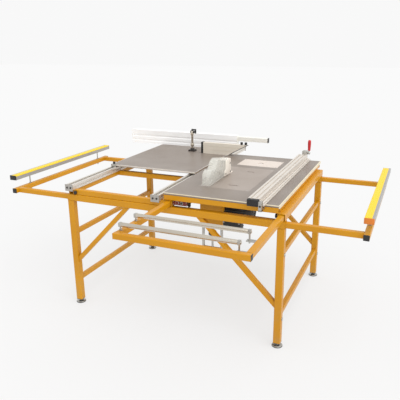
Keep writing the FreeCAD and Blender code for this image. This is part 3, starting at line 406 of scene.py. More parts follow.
def fresh(*chosen):
    """Leaves edit mode, drops the selection and takes up only these pieces, the first one active."""
    if bpy.context.object and bpy.context.object.mode == "EDIT":
        bpy.ops.object.mode_set(mode="OBJECT")
    bpy.ops.object.select_all(action="DESELECT")
    for piece in chosen:
        piece.select_set(True)
    if chosen:
        bpy.context.view_layer.objects.active = chosen[0]


def spot(axis, centre, along):
    """A point in metres, from its place along an axis and on the two others, in mm."""
    first, second = centre
    order = {"x": (along, first, second), "y": (first, along, second), "z": (first, second, along)}
    return Vector(order[axis]) * MM


def settled(name):
    """Moves the new piece's place, turn and scale into its mesh."""
    bpy.ops.object.transform_apply(location=True, rotation=True, scale=True)
    bpy.context.object.name = name
    return bpy.context.object


def block(name, *spans):
    """A block over a span along X, Y and Z."""
    fresh()
    bpy.ops.mesh.primitive_cube_add(size=1, location=[sum(span) / 2 * MM for span in spans])
    bpy.context.object.scale = [(high - low) * MM for low, high in spans]
    return settled(name)


def rod(name, axis, centre, radius, low, high, sides=32):
    """A cylinder, or a prism when the number of sides is small."""
    fresh()
    bpy.ops.mesh.primitive_cylinder_add(vertices=sides, radius=radius * MM, depth=(high - low) * MM,
                                        location=spot(axis, centre, (low + high) / 2), rotation=UP[axis])
    return settled(name)


def chain(points):
    """Draws a chain of vertices through points in metres by extruding one vertex from each to the next."""
    fresh()
    bpy.ops.mesh.primitive_plane_add(size=MM, location=points[0])
    bpy.ops.object.mode_set(mode="EDIT")
    bpy.ops.mesh.select_mode(type="VERT")
    bpy.ops.mesh.merge(type="CENTER")
    for before, after in zip(points, points[1:]):
        step = Vector(after) - Vector(before)
        bpy.ops.mesh.extrude_region_move(TRANSFORM_OT_translate={"value": step})
    bpy.ops.mesh.select_all(action="SELECT")


def tidy_mesh(name):
    """Closes seams, turns normals outward and leaves edit mode."""
    bpy.ops.mesh.select_all(action="SELECT")
    bpy.ops.mesh.remove_doubles(threshold=MM / 1000)
    bpy.ops.mesh.normals_make_consistent(inside=False)
    bpy.ops.object.mode_set(mode="OBJECT")
    return settled(name)


def turned(name, axis, centre, outline, steps=40):
    """A lathe shape: the outline's (radius, along) points are spun once round the axis."""
    chain([Vector((radius, 0, along)) * MM for radius, along in outline])
    bpy.ops.mesh.spin(steps=steps, angle=2 * math.pi, center=(0, 0, 0), axis=(0, 0, 1))
    piece = tidy_mesh(name)
    piece.rotation_euler = UP[axis]
    piece.location = spot(axis, centre, 0)
    return settled(name)


def traced(name, axis, points, low, high):
    """A plate: the outline across an axis is filled, then extruded from low to high."""
    chain([spot(axis, point, low) for point in points])
    bpy.ops.mesh.edge_face_add()
    step = spot(axis, (0, 0), high - low)
    bpy.ops.mesh.extrude_region_move(TRANSFORM_OT_translate={"value": step})
    return tidy_mesh(name)


# %% [markdown]
# ## Finishing a shape
# No real edge is quite sharp, so almost every piece gets a small bevel. What repeats is modelled once and
# copied, and a finished piece is joined, given its finish and handed over to the CAD body that carries
# it.

# %% Helpers that finish shapes
SHARP = math.radians(38)


def soften(piece, width, segments=2):
    """Rounds the sharp edges of a piece and shades its curves smooth."""
    fresh(piece)
    bevel = piece.modifiers.new("edges", "BEVEL")
    bevel.width, bevel.segments, bevel.limit_method = width * MM, segments, "ANGLE"
    bevel.angle_limit = SHARP
    bpy.ops.object.modifier_apply(modifier=bevel.name)
    bpy.ops.object.shade_smooth_by_angle(angle=SHARP)
    return piece


def scrap(piece):
    """Deletes a piece that was only a pattern or a tool."""
    fresh(piece)
    bpy.ops.object.delete()


def one_piece(*parts):
    """Joins parts into one piece."""
    fresh(*parts)
    bpy.ops.object.join()
    return bpy.context.object


def drilled(piece, *tools):
    """Takes the tools' shapes out of a piece and deletes them."""
    for tool in tools:
        fresh(piece)
        hole = piece.modifiers.new("hole", "BOOLEAN")
        hole.operation, hole.object, hole.solver = "DIFFERENCE", tool, "EXACT"
        bpy.ops.object.modifier_apply(modifier=hole.name)
        scrap(tool)
    return piece


def twin(piece, x=0, y=0, z=0, turn=0, axis="Z", about=None):
    """A copy with its own mesh, moved in mm, or turned in degrees about an axis through a point in mm."""
    fresh(piece)
    bpy.ops.object.duplicate()
    if turn:
        bpy.ops.transform.rotate(value=math.radians(turn), orient_axis=axis, orient_type="GLOBAL",
                                 center_override=Vector(about) * MM)
    bpy.ops.transform.translate(value=Vector((x, y, z)) * MM)
    return settled(piece.name)


def wheel_of(piece, turns, about):
    """Copies of a pattern piece at several turns, in degrees, round an axis along X. The pattern goes."""
    copies = [twin(piece, turn=turn, axis="X", about=about) for turn in turns]
    scrap(piece)
    return copies


def hand_over(name, pieces, body, finish, slot, *replaced):
    """Joins pieces into one, gives it its finish and lets it ride on its CAD body."""
    fresh(*pieces)
    if len(pieces) > 1:
        bpy.ops.object.join()
    piece = bpy.context.object
    piece.name = name
    piece.data.materials.clear()
    piece.data.materials.append(finish)
    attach(piece, body)
    if replaced:
        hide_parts(*replaced)
    print(f"{name}: {len(piece.data.polygons)} faces on {body}")
    return piece


def at(node):
    """The spans of a CAD node along X, Y and Z, in mm."""
    low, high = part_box(node)
    return [(a / MM, b / MM) for a, b in zip(low, high)]


def middle(span):
    """The place half way along a span."""
    return sum(span) / 2


def arc(centre, radius, start, end, steps=10):
    """Points along an arc, from one angle to another in degrees."""
    turns = [math.radians(start + (end - start) * step / steps) for step in range(steps + 1)]
    return [(centre[0] + radius * math.cos(t), centre[1] + radius * math.sin(t)) for t in turns]


# %% [markdown]
# ## Levelling feet
# Each leg ends in a black plug with a zinc-plated stud in it. The stud stands in a dished steel disc with
# a rubber sole, and a nut on the stud locks the height. The disc and sole are turned from one outline
# each.

# %% Levelling feet
LEG_X, FRONT_LEG_Y, REAR_LEG_Y, LEG_HALF = 657.5, -450, 515, 20
FEET = [(x, y) for x in (-LEG_X, LEG_X) for y in (FRONT_LEG_Y, REAR_LEG_Y)]
pads = [(0, 0), (27, 0), (30, 2), (30, 5), (28, 6.5), (0, 6.5)]
dish = [(0, 6), (28.5, 6), (29.2, 7), (28.4, 8.6), (20, 10.5), (11, 13), (9, 17), (0, 17)]
sole = turned("foot_soles", "z", FEET[0], pads)
disc = turned("foot_discs", "z", FEET[0], dish)
stud = rod("stud", "z", FEET[0], 6, 14, 26, 20)
nut = soften(rod("nut", "z", FEET[0], 10.6, 17, 22, 6), 0.8)
leg_section = [(place - LEG_HALF, place + LEG_HALF) for place in FEET[0]]
plug = soften(block("plug", *leg_section, (22, 25)), 2.5, 3)


def at_all_feet(piece):
    """A piece made at the first foot, with its copies at the others."""
    x, y = FEET[0]
    return [piece] + [twin(piece, px - x, py - y) for px, py in FEET[1:]]


hand_over("foot_soles", at_all_feet(soften(sole, 0.6)), "frame", rubber, "black_plastic")
disc = soften(one_piece(disc, stud, nut), 0.3, 1)
hand_over("foot_discs", at_all_feet(disc), "frame", zinc, "steel", "levelling_feet")
hand_over("leg_plugs", at_all_feet(plug), "frame", black, "black_plastic")

# %% [markdown]
# ## Hexagon bolts
# The side rails are bolted to the legs. A real head has a washer face under it and a chamfer on its
# corners, which catches the light as a thin bright ring.

# %% Frame bolts
def bolt_head(name, axis, centre, radius, low, high, washer):
    """A hexagon head that points along an axis, with its washer. High may be the lower of the two ends."""
    ends = sorted((low, high))
    head = soften(rod(name, axis, centre, radius, *ends, sides=6), radius * 0.09, 1)
    away = 1 if high > low else -1
    ring = rod(name, axis, centre, washer, *sorted((low, low + away * 1.2)), sides=24)
    return [head, soften(ring, 0.3, 1)]


bolt_x, bolt_y, bolt_z = at("frame_bolts")
bolt_heads = []
for side, face in ((-1, bolt_x[0] + 5), (1, bolt_x[1] - 5)):
    for y in (bolt_y[0] + 9, bolt_y[1] - 9):
        for z in (bolt_z[0] + 9, bolt_z[1] - 9):
            bolt_heads += bolt_head("bolt", "x", (y, z), 8.6, face, face + side * 5, 8.9)
hand_over("frame_bolts_detail", bolt_heads, "frame", zinc, "steel", "frame_bolts")

# %% [markdown]
# ## Rollers
# Two bright tubes lie across the pull-out frame at the front so that a long board can slide over them.
# Each is a thin steel tube with a pressed-in end cap that is set back a little, and turns on a bolt
# through two eyes.

# %% Rollers
ROLLER_RADIUS, ROLLER_EYE = 11, 15
for name in ("front_roller", "rear_roller"):
    (left, right), y, z = at(name)
    centre, radius = (middle(y), middle(z)), ROLLER_RADIUS
    low, high = left + ROLLER_EYE, right - ROLLER_EYE
    ends = [(0, low + 3), (7, low + 3), (8, low + 1.6), (radius - 1.2, low + 1.6), (radius - 0.8, low),
            (radius - 0.2, low), (radius, low + 0.8)]
    outline = ends + [(radius_at, low + high - along) for radius_at, along in reversed(ends)]
    tube = turned(name, "x", centre, outline, 48)
    fresh(tube)
    bpy.ops.object.shade_smooth_by_angle(angle=math.radians(30))
    axle = rod(name, "x", centre, 3.8, left + 1, right - 1, 20)
    hand_over(name + "_tube", [tube], name, bright, "steel", name)
    caps = [soften(rod(name, "x", centre, 6.5, *sorted((end, end - side * 4)), sides=6), 0.6, 1)
            for end, side in ((left, -1), (right, 1))]
    hand_over(name + "_axle", [axle, *caps], name, zinc, "steel")

# %% [markdown]
# ## Wheels of the sliding table
# The table rolls on grooved nylon wheels that run on round edges inside the rails. The tread is a shallow
# V, and the hub stands a little proud.

# %% Wheels
WHEEL_WIDTH = 10
TREAD = [(4, 0), (7, 0), (7, 1), (11.4, 1), (11.4, 2.4), (9.6, 5)]
TREAD += [(radius, WHEEL_WIDTH - along) for radius, along in reversed(TREAD[:-1])] + TREAD[:1]
for name in ("front_wheels", "rear_wheels"):
    x, y, z = at(name)
    wheels = []
    for low in (x[0], x[1] - WHEEL_WIDTH):
        outline = [(radius, low + along) for radius, along in TREAD]
        wheels.append(turned(name, "x", (middle(y), middle(z)), outline, 32))
    hand_over(name + "_detail", [soften(wheel, 0.3, 1) for wheel in wheels], name, nylon, "steel")

# %% [markdown]
# ## Blade guard
# The guard is a clear moulded shell with a round nose, a higher round crown over the blade and a straight
# back. The outline is filled and extruded to the shell's width, its underside is opened, and the skin is
# given a thickness.

# %% Blade guard
(guard_left, guard_right), (guard_front, guard_back), (guard_low, _) = at("blade_guard")
NOSE, CROWN = (-242, guard_low + 42), (-130, guard_low + 62)
outline = [(guard_front, guard_low)]
outline += arc(NOSE, 43, 180, 42, 12)
outline += arc(CROWN, 68, 150, 76, 12)
outline += arc((-22, guard_low + 100), 12, 90, 0, 5) + [(-2, guard_low + 94)]
outline += arc((guard_back - 9, guard_low + 85), 9, 90, 0, 4) + [(guard_back, guard_low)]
shell = traced("guard", "x", outline, guard_left, guard_right)
fresh(shell)
bpy.ops.object.mode_set(mode="EDIT")
bpy.ops.mesh.select_mode(type="FACE")
bpy.ops.mesh.select_all(action="DESELECT")
bpy.ops.object.mode_set(mode="OBJECT")
for face in shell.data.polygons:
    face.select = face.normal.z < -0.9 and face.center.z < (guard_low + 1) * MM
bpy.ops.object.mode_set(mode="EDIT")
bpy.ops.mesh.delete(type="FACE")
bpy.ops.object.mode_set(mode="OBJECT")
skin = shell.modifiers.new("skin", "SOLIDIFY")
skin.thickness, skin.offset = 2.4 * MM, -1
bpy.ops.object.modifier_apply(modifier=skin.name)
soften(shell, 1.0)
hand_over("guard_shell", [shell], "blade_guard", clear, "clear_plastic", "blade_guard")

# %% [markdown]
# ## Guard cover
# An off-white cover at the back of the shell carries the hinge. It stands a little proud of the clear
# wall and is held by three dark screws. A strip of the same plastic lies along the top, and a dark nut
# sits on the other side.

# %% Guard cover and its screws
cover_outline = [(-52, guard_low + 2), (guard_back - 1, guard_low + 2), (guard_back - 1, guard_low + 60)]
cover_outline += arc((guard_back - 14, guard_low + 84), 12, 0, 90, 5)
cover_outline += arc((-20, guard_low + 86), 12, 90, 180, 5) + [(-32, guard_low + 44), (-52, guard_low + 30)]
cover_face = guard_right + 1.5
cover = traced("cover", "x", cover_outline, guard_right - 2.6, cover_face)
top_strip = block("cover", (guard_left + 3, guard_right - 3), (-24, guard_back - 12),
                  (guard_low + 94, guard_low + 97))
hand_over("guard_cover", [soften(cover, 1.4, 3), soften(top_strip, 0.8)], "blade_guard", cream,
          "guard_mount")
screws = []
for y, z in ((guard_back - 12, guard_low + 12), (guard_back - 16, guard_low + 66), (-34, guard_low + 14)):
    head = [(0, cover_face - 1), (5.4, cover_face - 1), (5.4, cover_face + 1), (3.4, cover_face + 1.6),
            (0, cover_face + 1.6)]
    screws.append(turned("screw", "x", (y, z), head, 16))
hinge_nut = rod("screw", "x", (41, guard_low + 66), 8, guard_left, guard_left + 1.4, 6)
screws.append(soften(hinge_nut, 0.4, 1))
hand_over("guard_screws", screws, "blade_guard", black, "black_plastic")

# %% [markdown]
# ## Saw blade
# A 300 mm carbide blade has its tips brazed on the front of deep gullets, and a few slots near the rim
# let the steel grow when it gets warm. One tooth's outline is repeated round the rim, and one slot and
# one tip are modelled and copied round the hub.

# %% Saw blade
(blade_left, blade_right), blade_y, blade_z = at("saw_blade")
hub, TEETH, RIM = (middle(blade_y), middle(blade_z)), 32, 149.5
TOOTH = ((0.0, 1.0), (0.10, 0.997), (0.17, 0.965), (0.45, 0.955), (0.72, 0.925), (0.90, 0.935),
         (0.985, 0.972))
rim = []
for tooth in range(TEETH):
    for turn, reach in TOOTH:
        angle = 2 * math.pi * (tooth + turn) / TEETH
        rim.append((hub[0] + RIM * reach * math.cos(angle), hub[1] + RIM * reach * math.sin(angle)))
plate = traced("blade", "x", rim, blade_left + 0.5, blade_right - 0.5)
slot = block("slot", (blade_left - 1, blade_right + 1), (hub[0] + 118, hub[0] + 145),
             (hub[1] - 0.8, hub[1] + 0.8))
slots = wheel_of(slot, [90 * count + 35 for count in range(4)], (0, *hub))
hand_over("toothed_blade", [drilled(plate, *slots)], "arbor", blade_steel, "steel", "saw_blade")

# %% Blade tips
tip = block("tip", (blade_left, blade_right), (hub[0] + RIM - 6.5, hub[0] + RIM + 0.2),
            (hub[1] - 0.6, hub[1] + 1.4))
tips = wheel_of(tip, [360 / TEETH * tooth for tooth in range(TEETH)], (0, *hub))
hand_over("blade_tips", tips, "arbor", zinc, "steel")

# %% [markdown]
# ## Motor
# The motor is a black casting with cooling fins and a pressed fan cover with a grooved end. A real can is
# cast round with the ribs along it, so the can is turned, and one thin block is copied round it for the
# fins.

# %% Motor can and fins
(face, tail), motor_y, _ = at("motor")
MOTOR_HEIGHT, ARBOR_HEIGHT, BOX_LOW, FIN_REACH, FINS = 650, 730, 520, 66, 30
axis_y, axis_z = middle(motor_y), MOTOR_HEIGHT
case_end, fan_start = face + 40, tail - 34
can_outline = [(0, case_end), (59, case_end), (61, case_end + 3), (61, fan_start), (0, fan_start)]
core = turned("can", "x", (axis_y, axis_z), can_outline, 48)
fin = block("fin", (case_end + 4, fan_start - 4), (axis_y + 58, axis_y + FIN_REACH),
            (axis_z - 1.3, axis_z + 1.3))
fins = wheel_of(fin, [360 / FINS * (count + 0.5) for count in range(FINS)], (0, axis_y, axis_z))

# %% Fan cover
GROOVE = 2
fan_outline = [(0, fan_start - 1), (63, fan_start - 1), (64, fan_start + 2), (63, tail - 10), (58, tail - 3),
               (50, tail)]
for outer in (46, 34, 22):
    inner = outer - 6
    fan_outline += [(outer, tail), (outer, tail - GROOVE), (inner, tail - GROOVE), (inner, tail)]
fan = turned("fan", "x", (axis_y, axis_z), fan_outline + [(0, tail)], 48)
hand_over("motor_can", [soften(core, 0.8), *fins, soften(fan, 0.5, 1)], "saw_carriage", motor_black,
          "motor_black", "motor")

# %% [markdown]
# ## Gear case
# The motor drives the blade through a belt or gears in a flat case with two round ends, one over each
# shaft. Its outline is two arcs, a lid of the same outline lies on it, and a box for the leads hangs
# below.

# %% Gear case and box for the leads
case_points = arc((axis_y, ARBOR_HEIGHT), 58, 10, 170, 12)
case_points += arc((axis_y, MOTOR_HEIGHT - 28), 60, 190, 350, 12)
case = soften(traced("case", "x", case_points, face, case_end), 3, 3)
CASE_MIDDLE = 676
lid_points = [(axis_y + (y - axis_y) * 0.86, CASE_MIDDLE + (z - CASE_MIDDLE) * 0.88) for y, z in case_points]
lid = soften(traced("case", "x", lid_points, case_end - 1, case_end + 2.5), 1.2)
bore = rod("bore", "x", (axis_y, ARBOR_HEIGHT), 12.75, face - 1, face + 32)
case = drilled(case, bore)
box = soften(block("box", (face + 20, face + 138), (axis_y - 28, axis_y + 28), (BOX_LOW, BOX_LOW + 72)), 4, 3)
box_rim = block("box", (face + 18, face + 140), (axis_y - 30, axis_y + 30), (BOX_LOW + 16, BOX_LOW + 21))
hand_over("gear_case", [case, lid, box, soften(box_rim, 1)], "saw_carriage", motor_black, "motor_black")

# %% Motor bolts
case_bolts = []
for out, z in ((-44, 760), (44, 760), (-48, 600), (48, 600), (-54, 690)):
    case_bolts += bolt_head("bolt", "x", (axis_y + out, z), 5, case_end, case_end + 4, 5.4)
for x in (face + 30, face + 128):
    case_bolts += bolt_head("bolt", "y", (x, BOX_LOW + 46), 4.2, axis_y - 28, axis_y - 31, 4.6)
hand_over("motor_bolts", case_bolts, "saw_carriage", zinc, "motor_black")

# %% [markdown]
# ## Knobs
# Lock knobs are moulded with lobes that the fingers fall between. A lobed knob is a turned body with
# round flutes taken out of its rim. The height knob of the saw is the same shape, larger, under the
# screw.

# %% Fluted knobs
def knob(name, axis, centre, radius, low, high, lobes=6):
    """A moulded knob from its stud's end to its domed end, which may lie lower along the axis."""
    away = 1 if high > low else -1
    deep = abs(high - low)
    shape = [(0, 0), (radius * 0.55, 0), (radius * 0.6, deep * 0.25), (radius, deep * 0.32),
             (radius, deep * 0.82), (radius * 0.82, deep * 0.97), (0, deep)]
    body = turned(name, axis, centre, [(r, low + away * along) for r, along in shape], 48)
    flutes = []
    for count in range(lobes):
        angle = 2 * math.pi * (count + 0.5) / lobes
        place = (centre[0] + radius * 1.22 * math.cos(angle), centre[1] + radius * 1.22 * math.sin(angle))
        flutes.append(rod("flute", axis, place, radius * 0.38, min(low, high) - 1, max(low, high) + 1, 20))
    return soften(drilled(body, one_piece(*flutes)), radius * 0.05)


# %% Lock knobs and height knob
x, y, z = at("rail_lock_knob")
rail_knob = knob("rail_knob", "y", (middle(x), middle(z)), 11, y[0] + 14, y[0], 5)
stud = rod("stud", "y", (middle(x), middle(z)), 3.8, y[0] + 10, y[1] - 0.2, 20)
hand_over("rail_lock_knob_detail", [rail_knob, stud], "rail_lock_knob", black, "black_plastic",
          "rail_lock_knob")

x, y, z = at("sleeve_lock_knob")
sleeve_knob = knob("sleeve_knob", "x", (middle(y), middle(z)), 12, x[1] - 4.5, x[0], 5)
stud = rod("stud", "x", (middle(y), middle(z)), 3.8, x[0] + 10, x[1] - 0.2, 20)
hand_over("sleeve_lock_knob_detail", [sleeve_knob, stud], "sleeve_lock_knob", black, "black_plastic",
          "sleeve_lock_knob")

x, y, z = at("lift_knob")
lift_knob = knob("lift_knob", "z", (middle(x), middle(y)), 24, *z, lobes=8)
hand_over("lift_knob_detail", [lift_knob], "lift_drive", black, "black_plastic", "lift_knob")

# %% [markdown]
# ## Hold-down
# A clamp stands on the sliding table: a foot bolted down and a round post with a clamping collar. Post,
# collar and boss are turned, and the foot is a block with four bolts.

# %% Hold-down post
(post_left, post_right), post_y, (post_low, post_high) = at("hold_down_post")
post_x, post_mid = middle((post_left, post_right)), middle(post_y)
post_outline = [(0, post_low), (8, post_low), (8, post_high - 34), (12.4, post_high - 33),
                (12.8, post_high - 31),
                (12.8, post_high - 4), (12, post_high - 2), (7, post_high), (0, post_high)]
post = turned("post", "z", (post_x, post_mid), post_outline, 36)
COLLAR_LOW, COLLAR_HIGH = 860, 878
collar_outline = [(0, COLLAR_LOW), (13, COLLAR_LOW), (13.6, COLLAR_LOW + 1), (13.6, COLLAR_HIGH - 1),
                  (13, COLLAR_HIGH), (0, COLLAR_HIGH)]
collar = turned("collar", "z", (post_x, post_mid), collar_outline, 36)
hand_over("hold_down_post_detail", [soften(post, 0.5), soften(collar, 0.6)], "sliding_table", bright,
          "steel", "hold_down_post")

# %% Hold-down foot
x, y, z = at("hold_down_base")
base = soften(block("base", x, y, (z[0], z[0] + 9)), 2, 3)
boss_outline = [(0, z[0]), (15.5, z[0]), (15.5, z[1] - 5), (13, z[1]), (0, z[1])]
boss = turned("boss", "z", (post_x, post_mid), boss_outline, 36)
base_bolts = []
for corner_x in (x[0] + 9, x[1] - 9):
    for corner_y in (y[0] + 7, y[1] - 7):
        base_bolts += bolt_head("bolt", "z", (corner_x, corner_y), 4.6, z[0] + 9, z[0] + 12.5, 5.4)
hand_over("hold_down_base_detail", [base, soften(boss, 0.8), *base_bolts], "sliding_table", dark_zinc,
          "steel", "hold_down_base")

# %% [markdown]
# ## Hold-down handle
# The black handle goes up from a hub on the post, across and down again, like the crook of a walking
# stick. Its lengths are straight rods, and a ball at each corner and at the tip rounds it off.

# %% Hold-down handle
HANDLE_PIVOT = 966
(_, lever_right), lever_y, (lever_low, lever_high) = at("hold_down_lever")
pivot = (middle(lever_y), HANDLE_PIVOT)
drop_x, cross_z = lever_right - 8, lever_high - 7
hub_outline = [(0, post_left), (9.5, post_left), (9.8, post_left + 2), (9.8, post_right + 4),
               (9, post_right + 6), (0, post_right + 6)]
hub = turned("hub", "x", pivot, hub_outline, 32)
bar = [rod("bar", "x", (pivot[0], cross_z), 5.4, post_x, drop_x, 20)]
bar.append(rod("bar", "z", (drop_x, pivot[0]), 5.4, lever_low + 3, cross_z, 20))
bar.append(rod("bar", "z", (post_x, pivot[0]), 6.5, HANDLE_PIVOT, lever_high - 6, 20))
for x, z in ((drop_x, cross_z), (post_x, cross_z), (drop_x, lever_low + 4)):
    fresh()
    bpy.ops.mesh.primitive_uv_sphere_add(segments=20, ring_count=12, radius=6.2 * MM,
                                         location=(x * MM, pivot[0] * MM, z * MM))
    bar.append(settled("bar"))
for part in bar:
    fresh(part)
    bpy.ops.object.shade_smooth_by_angle(angle=math.radians(40))
hand_over("hold_down_handle", [soften(hub, 0.6), *bar], "hold_down_lever", black, "black_plastic",
          "hold_down_lever")

# %% [markdown]
# ## Rip fence fittings
# A moulded cap closes the front of the rip fence, a light clip holds it on the table's edge, and a clamp
# stands behind it. The cap is hollowed to a thin rim, and the clamp is drilled for the lever's pin.

# %% Rip fence cap
x, y, z = at("rip_fence_head")
head = soften(block("head", x, y, z), 2.2, 3)
recess = block("recess", (x[0] + 7, x[1] - 7), (y[0] - 1, y[0] + 1.5), (z[0] + 7, z[1] - 7))
head = drilled(head, recess)
hand_over("rip_fence_cap", [head], "rip_fence", black, "black_plastic", "rip_fence_head")
screw_outline = [(0, y[0] + 1.6), (4, y[0] + 1.6), (4, y[0] + 0.6), (2.6, y[0] - 0.2), (0, y[0] - 0.2)]
screw_places = [(place, middle(z)) for place in (x[0] + 15, x[1] - 15)]
cap_screws = [turned("screw", "y", place, screw_outline, 20) for place in screw_places]
hand_over("rip_cap_screws", cap_screws, "rip_fence", black, "black_plastic")

# %% Rip fence clip and clamp
APRON_FRONT, CLIP_WIDTH = -474, 18
x, y, z = at("rip_fence_clamp")
fence_x, fence_y, fence_z = at("rip_fence")
clip_left = fence_x[1] - 24
clip_x = (clip_left, clip_left + CLIP_WIDTH)
clip = [block("clip", clip_x, (y[0], fence_y[0]), (z[0] + 6, fence_z[1] - 8)),
        block("clip", clip_x, (y[0], APRON_FRONT), (z[0] + 6, z[0] + 16))]
rear = block("rear", (x[0], fence_x[1] - 31), (fence_y[1], y[1]), (z[0], z[1]))
hole = rod("hole", "x", (y[1] - 20, fence_z[1] + 8), 5.05, fence_x[1] - 45, fence_x[1] - 30, 24)
rear = drilled(soften(rear, 3, 3), hole)
hand_over("rip_clamps", [*[soften(part, 1.5) for part in clip], rear], "rip_fence", zinc, "steel",
          "rip_fence_clamp")
clamp_bolts = bolt_head("bolt", "y", (x[0] + 14, z[1] - 14), 5.4, y[1], y[1] + 4, 5.8)
clamp_bolts += bolt_head("bolt", "y", (middle(clip_x), z[0] + 34), 4.8, y[0], y[0] - 3.5, 5.4)
hand_over("rip_clamp_bolts", clamp_bolts, "rip_fence", dark_zinc, "steel")

# %% [markdown]
# ## Rip fence lever
# A lever with a red grip tightens the clamp. Its hub and pin are turned along the pin, and the grip is
# turned upright, swollen where the hand closes on it.

# %% Rip lever
LEVER_PIVOT, GRIP_LOW = 865, 883
x, y, z = at("rip_lever")
pivot = (middle(y), LEVER_PIVOT)
stem_x = x[1] - 11
hub_outline = [(0, x[0]), (4.9, x[0]), (4.9, x[0] + 15), (8.6, x[0] + 15.6), (9, x[0] + 17), (9, x[1] - 6),
               (7.5, x[1] - 3), (0, x[1] - 3)]
hub = turned("hub", "x", pivot, hub_outline, 32)
stem = rod("stem", "z", (stem_x, pivot[0]), 4.6, LEVER_PIVOT, GRIP_LOW + 9, 24)
hand_over("rip_lever_arm", [soften(hub, 0.4), stem], "rip_lever", zinc, "steel")
swell = [(0, 0), (8.2, 0), (9.4, 2), (9.8, 7), (9, 10), (9.4, 17), (10.6, 32), (11, 47), (10.8, 61),
         (9.6, 69), (6.4, 73), (0, 74)]
grip = turned("grip", "z", (stem_x, pivot[0]), [(radius, GRIP_LOW + up) for radius, up in swell], 40)
hand_over("rip_lever_grip", [soften(grip, 0.5)], "rip_lever", red, "red_plastic", "rip_lever")

# %% [markdown]
# ## Crosscut fence fittings
# The crosscut fences are extrusions, so their cut ends are closed with caps. The long fence's right cap
# has a mouth for the bar that slides out of it, and the bar has a cap of its own. The caps are blocks
# with soft edges.

# %% Long fence and its bar
bar_x, bar_y, bar_z = at("fence_extension")
bar_section = [(low - 1, high + 1) for low, high in (bar_y, bar_z)]
x, y, z = at("long_fence")
long_caps = [soften(block("cap", (x[0] - 1.5, x[0] + 1), y, z), 1.2)]
mouth = block("mouth", (x[1] - 3, x[1] + 3), *bar_section)
long_caps.append(drilled(soften(block("cap", (x[1] - 1, x[1] + 1.5), y, z), 1.2), mouth))
hand_over("long_fence_caps", long_caps, "sliding_table", bar_silver, "aluminium")

# %% [markdown]
# ## Short fence fittings
# The short fence ends in a slanted nose so that it can stand close to the blade. A dark strip lines the
# slant, a cap closes the square end, and two small knobs lock the fence in its slot.

# %% Short fence
KNOB_PLACES, NOSE_LOW = (84, 116), 826
x, y, z = at("short_fence")
short_cap = soften(block("cap", (x[0] - 1.5, x[0] + 16), (y[0] - 1.2, y[1] + 1.2),
                         (z[0] + 0.5, z[1] + 1.2)), 2, 3)
hand_over("short_fence_cap", [short_cap], "sliding_table", black, "black_plastic")
seats = [(place, middle(y)) for place in KNOB_PLACES]
washer_outline = [(0, z[1] - 1), (11, z[1] - 1), (11, z[1] + 0.6), (0, z[1] + 0.6)]
fence_knobs = [knob("fence_knob", "z", seat, 9.5, z[1] - 1, z[1] + 19, 5) for seat in seats]
fence_knobs += [turned("washer", "z", seat, washer_outline, 24) for seat in seats]
hand_over("fence_knobs", fence_knobs, "sliding_table", black, "black_plastic")
nose = [(-8, NOSE_LOW), (x[1], z[1] - 1), (x[1] + 3, z[1] - 1), (x[1] + 3, z[1] - 4), (-2, NOSE_LOW)]
nose_edge = soften(traced("nose_edge", "y", nose, y[0] - 0.6, y[1] + 0.6), 0.6)
hand_over("fence_nose_edge", [nose_edge], "sliding_table", black, "black_plastic")

# %% Cap of the sliding bar
stop = soften(block("stop", (bar_x[1] - 3, bar_x[1] + 2), *bar_section), 1.2, 2)
hand_over("extension_end_cap", [stop], "fence_extension", dark_zinc, "black_plastic")

# %% [markdown]
# ## Table edges
# The sliding table's laminate is framed by an aluminium edge on three sides. A small bracket with a knob
# sits on its front left corner. The fixed table has a cream edging above the painted apron.

# %% Table edges
x, y, z = at("sliding_table")
along_front, along_side, edge_z = (y[0] - 3, y[0] + 1), (y[0] - 3, y[1] + 1), (z[1] - 9, z[1] + 0.2)
edge = [block("edge", (x[0] - 1, x[1] + 1), along_front, edge_z),
        block("edge", (x[0] - 3, x[0] + 1), along_side, edge_z),
        block("edge", (x[1] - 1, x[1] + 3), along_side, edge_z)]
hand_over("sliding_table_edge", [soften(part, 0.6) for part in edge], "sliding_table", rail_silver,
          "aluminium")
corner = [block("corner", (x[0] - 4.5, x[0] + 34), (y[0] - 4.5, y[0] + 14), (z[1] - 0.5, z[1] + 2)),
          block("corner", (x[0] - 4.5, x[0] + 34), (y[0] - 6, y[0] - 3), (z[1] - 22, z[1] + 2))]
hand_over("corner_bracket", [soften(part, 0.6) for part in corner], "sliding_table", zinc, "steel")
corner_knob = knob("corner_knob", "z", (x[0] + 16, y[0] + 5), 9, z[1] + 1, z[1] + 17, 5)
hand_over("corner_knob", [corner_knob], "sliding_table", black, "black_plastic")

# %% Front edge of the fixed table
x, y, z = at("main_table")
front_edge = soften(block("edge", x, (y[0] - 2, y[0] + 1), (z[1] - 5, z[1] + 0.2)), 0.5)
hand_over("main_table_front_edge", [front_edge], "frame", trim_silver, "aluminium")

# %% [markdown]
# ## Plate screws
# The plates let into the fixed top are held by sunk screws at their corners. A screw is a shallow turned
# dish that stands a quarter of a millimetre proud, enough to catch the light.

# %% Plate screws
plate_screws = []
for node, inset in (("blade_plate", 14), ("router_plate", 12)):
    x, y, z = at(node)
    dish = [(0, z[1] - 0.4), (5.2, z[1] - 0.4), (5.2, z[1] + 0.25), (1.6, z[1] + 0.05), (0, z[1] - 0.2)]
    for place_x in (x[0] + inset, x[1] - inset):
        for place_y in (y[0] + inset, y[1] - inset):
            plate_screws.append(turned("screw", "z", (place_x, place_y), dish, 20))
hand_over("plate_screws", plate_screws, "frame", zinc, "steel")

# %% [markdown]
# ## Caps of the pull-out supports
# Every open tube on the supports is closed by a plastic cap, and only the front cap of the right-hand bar
# is orange. Each cap is a block with well-rounded edges.

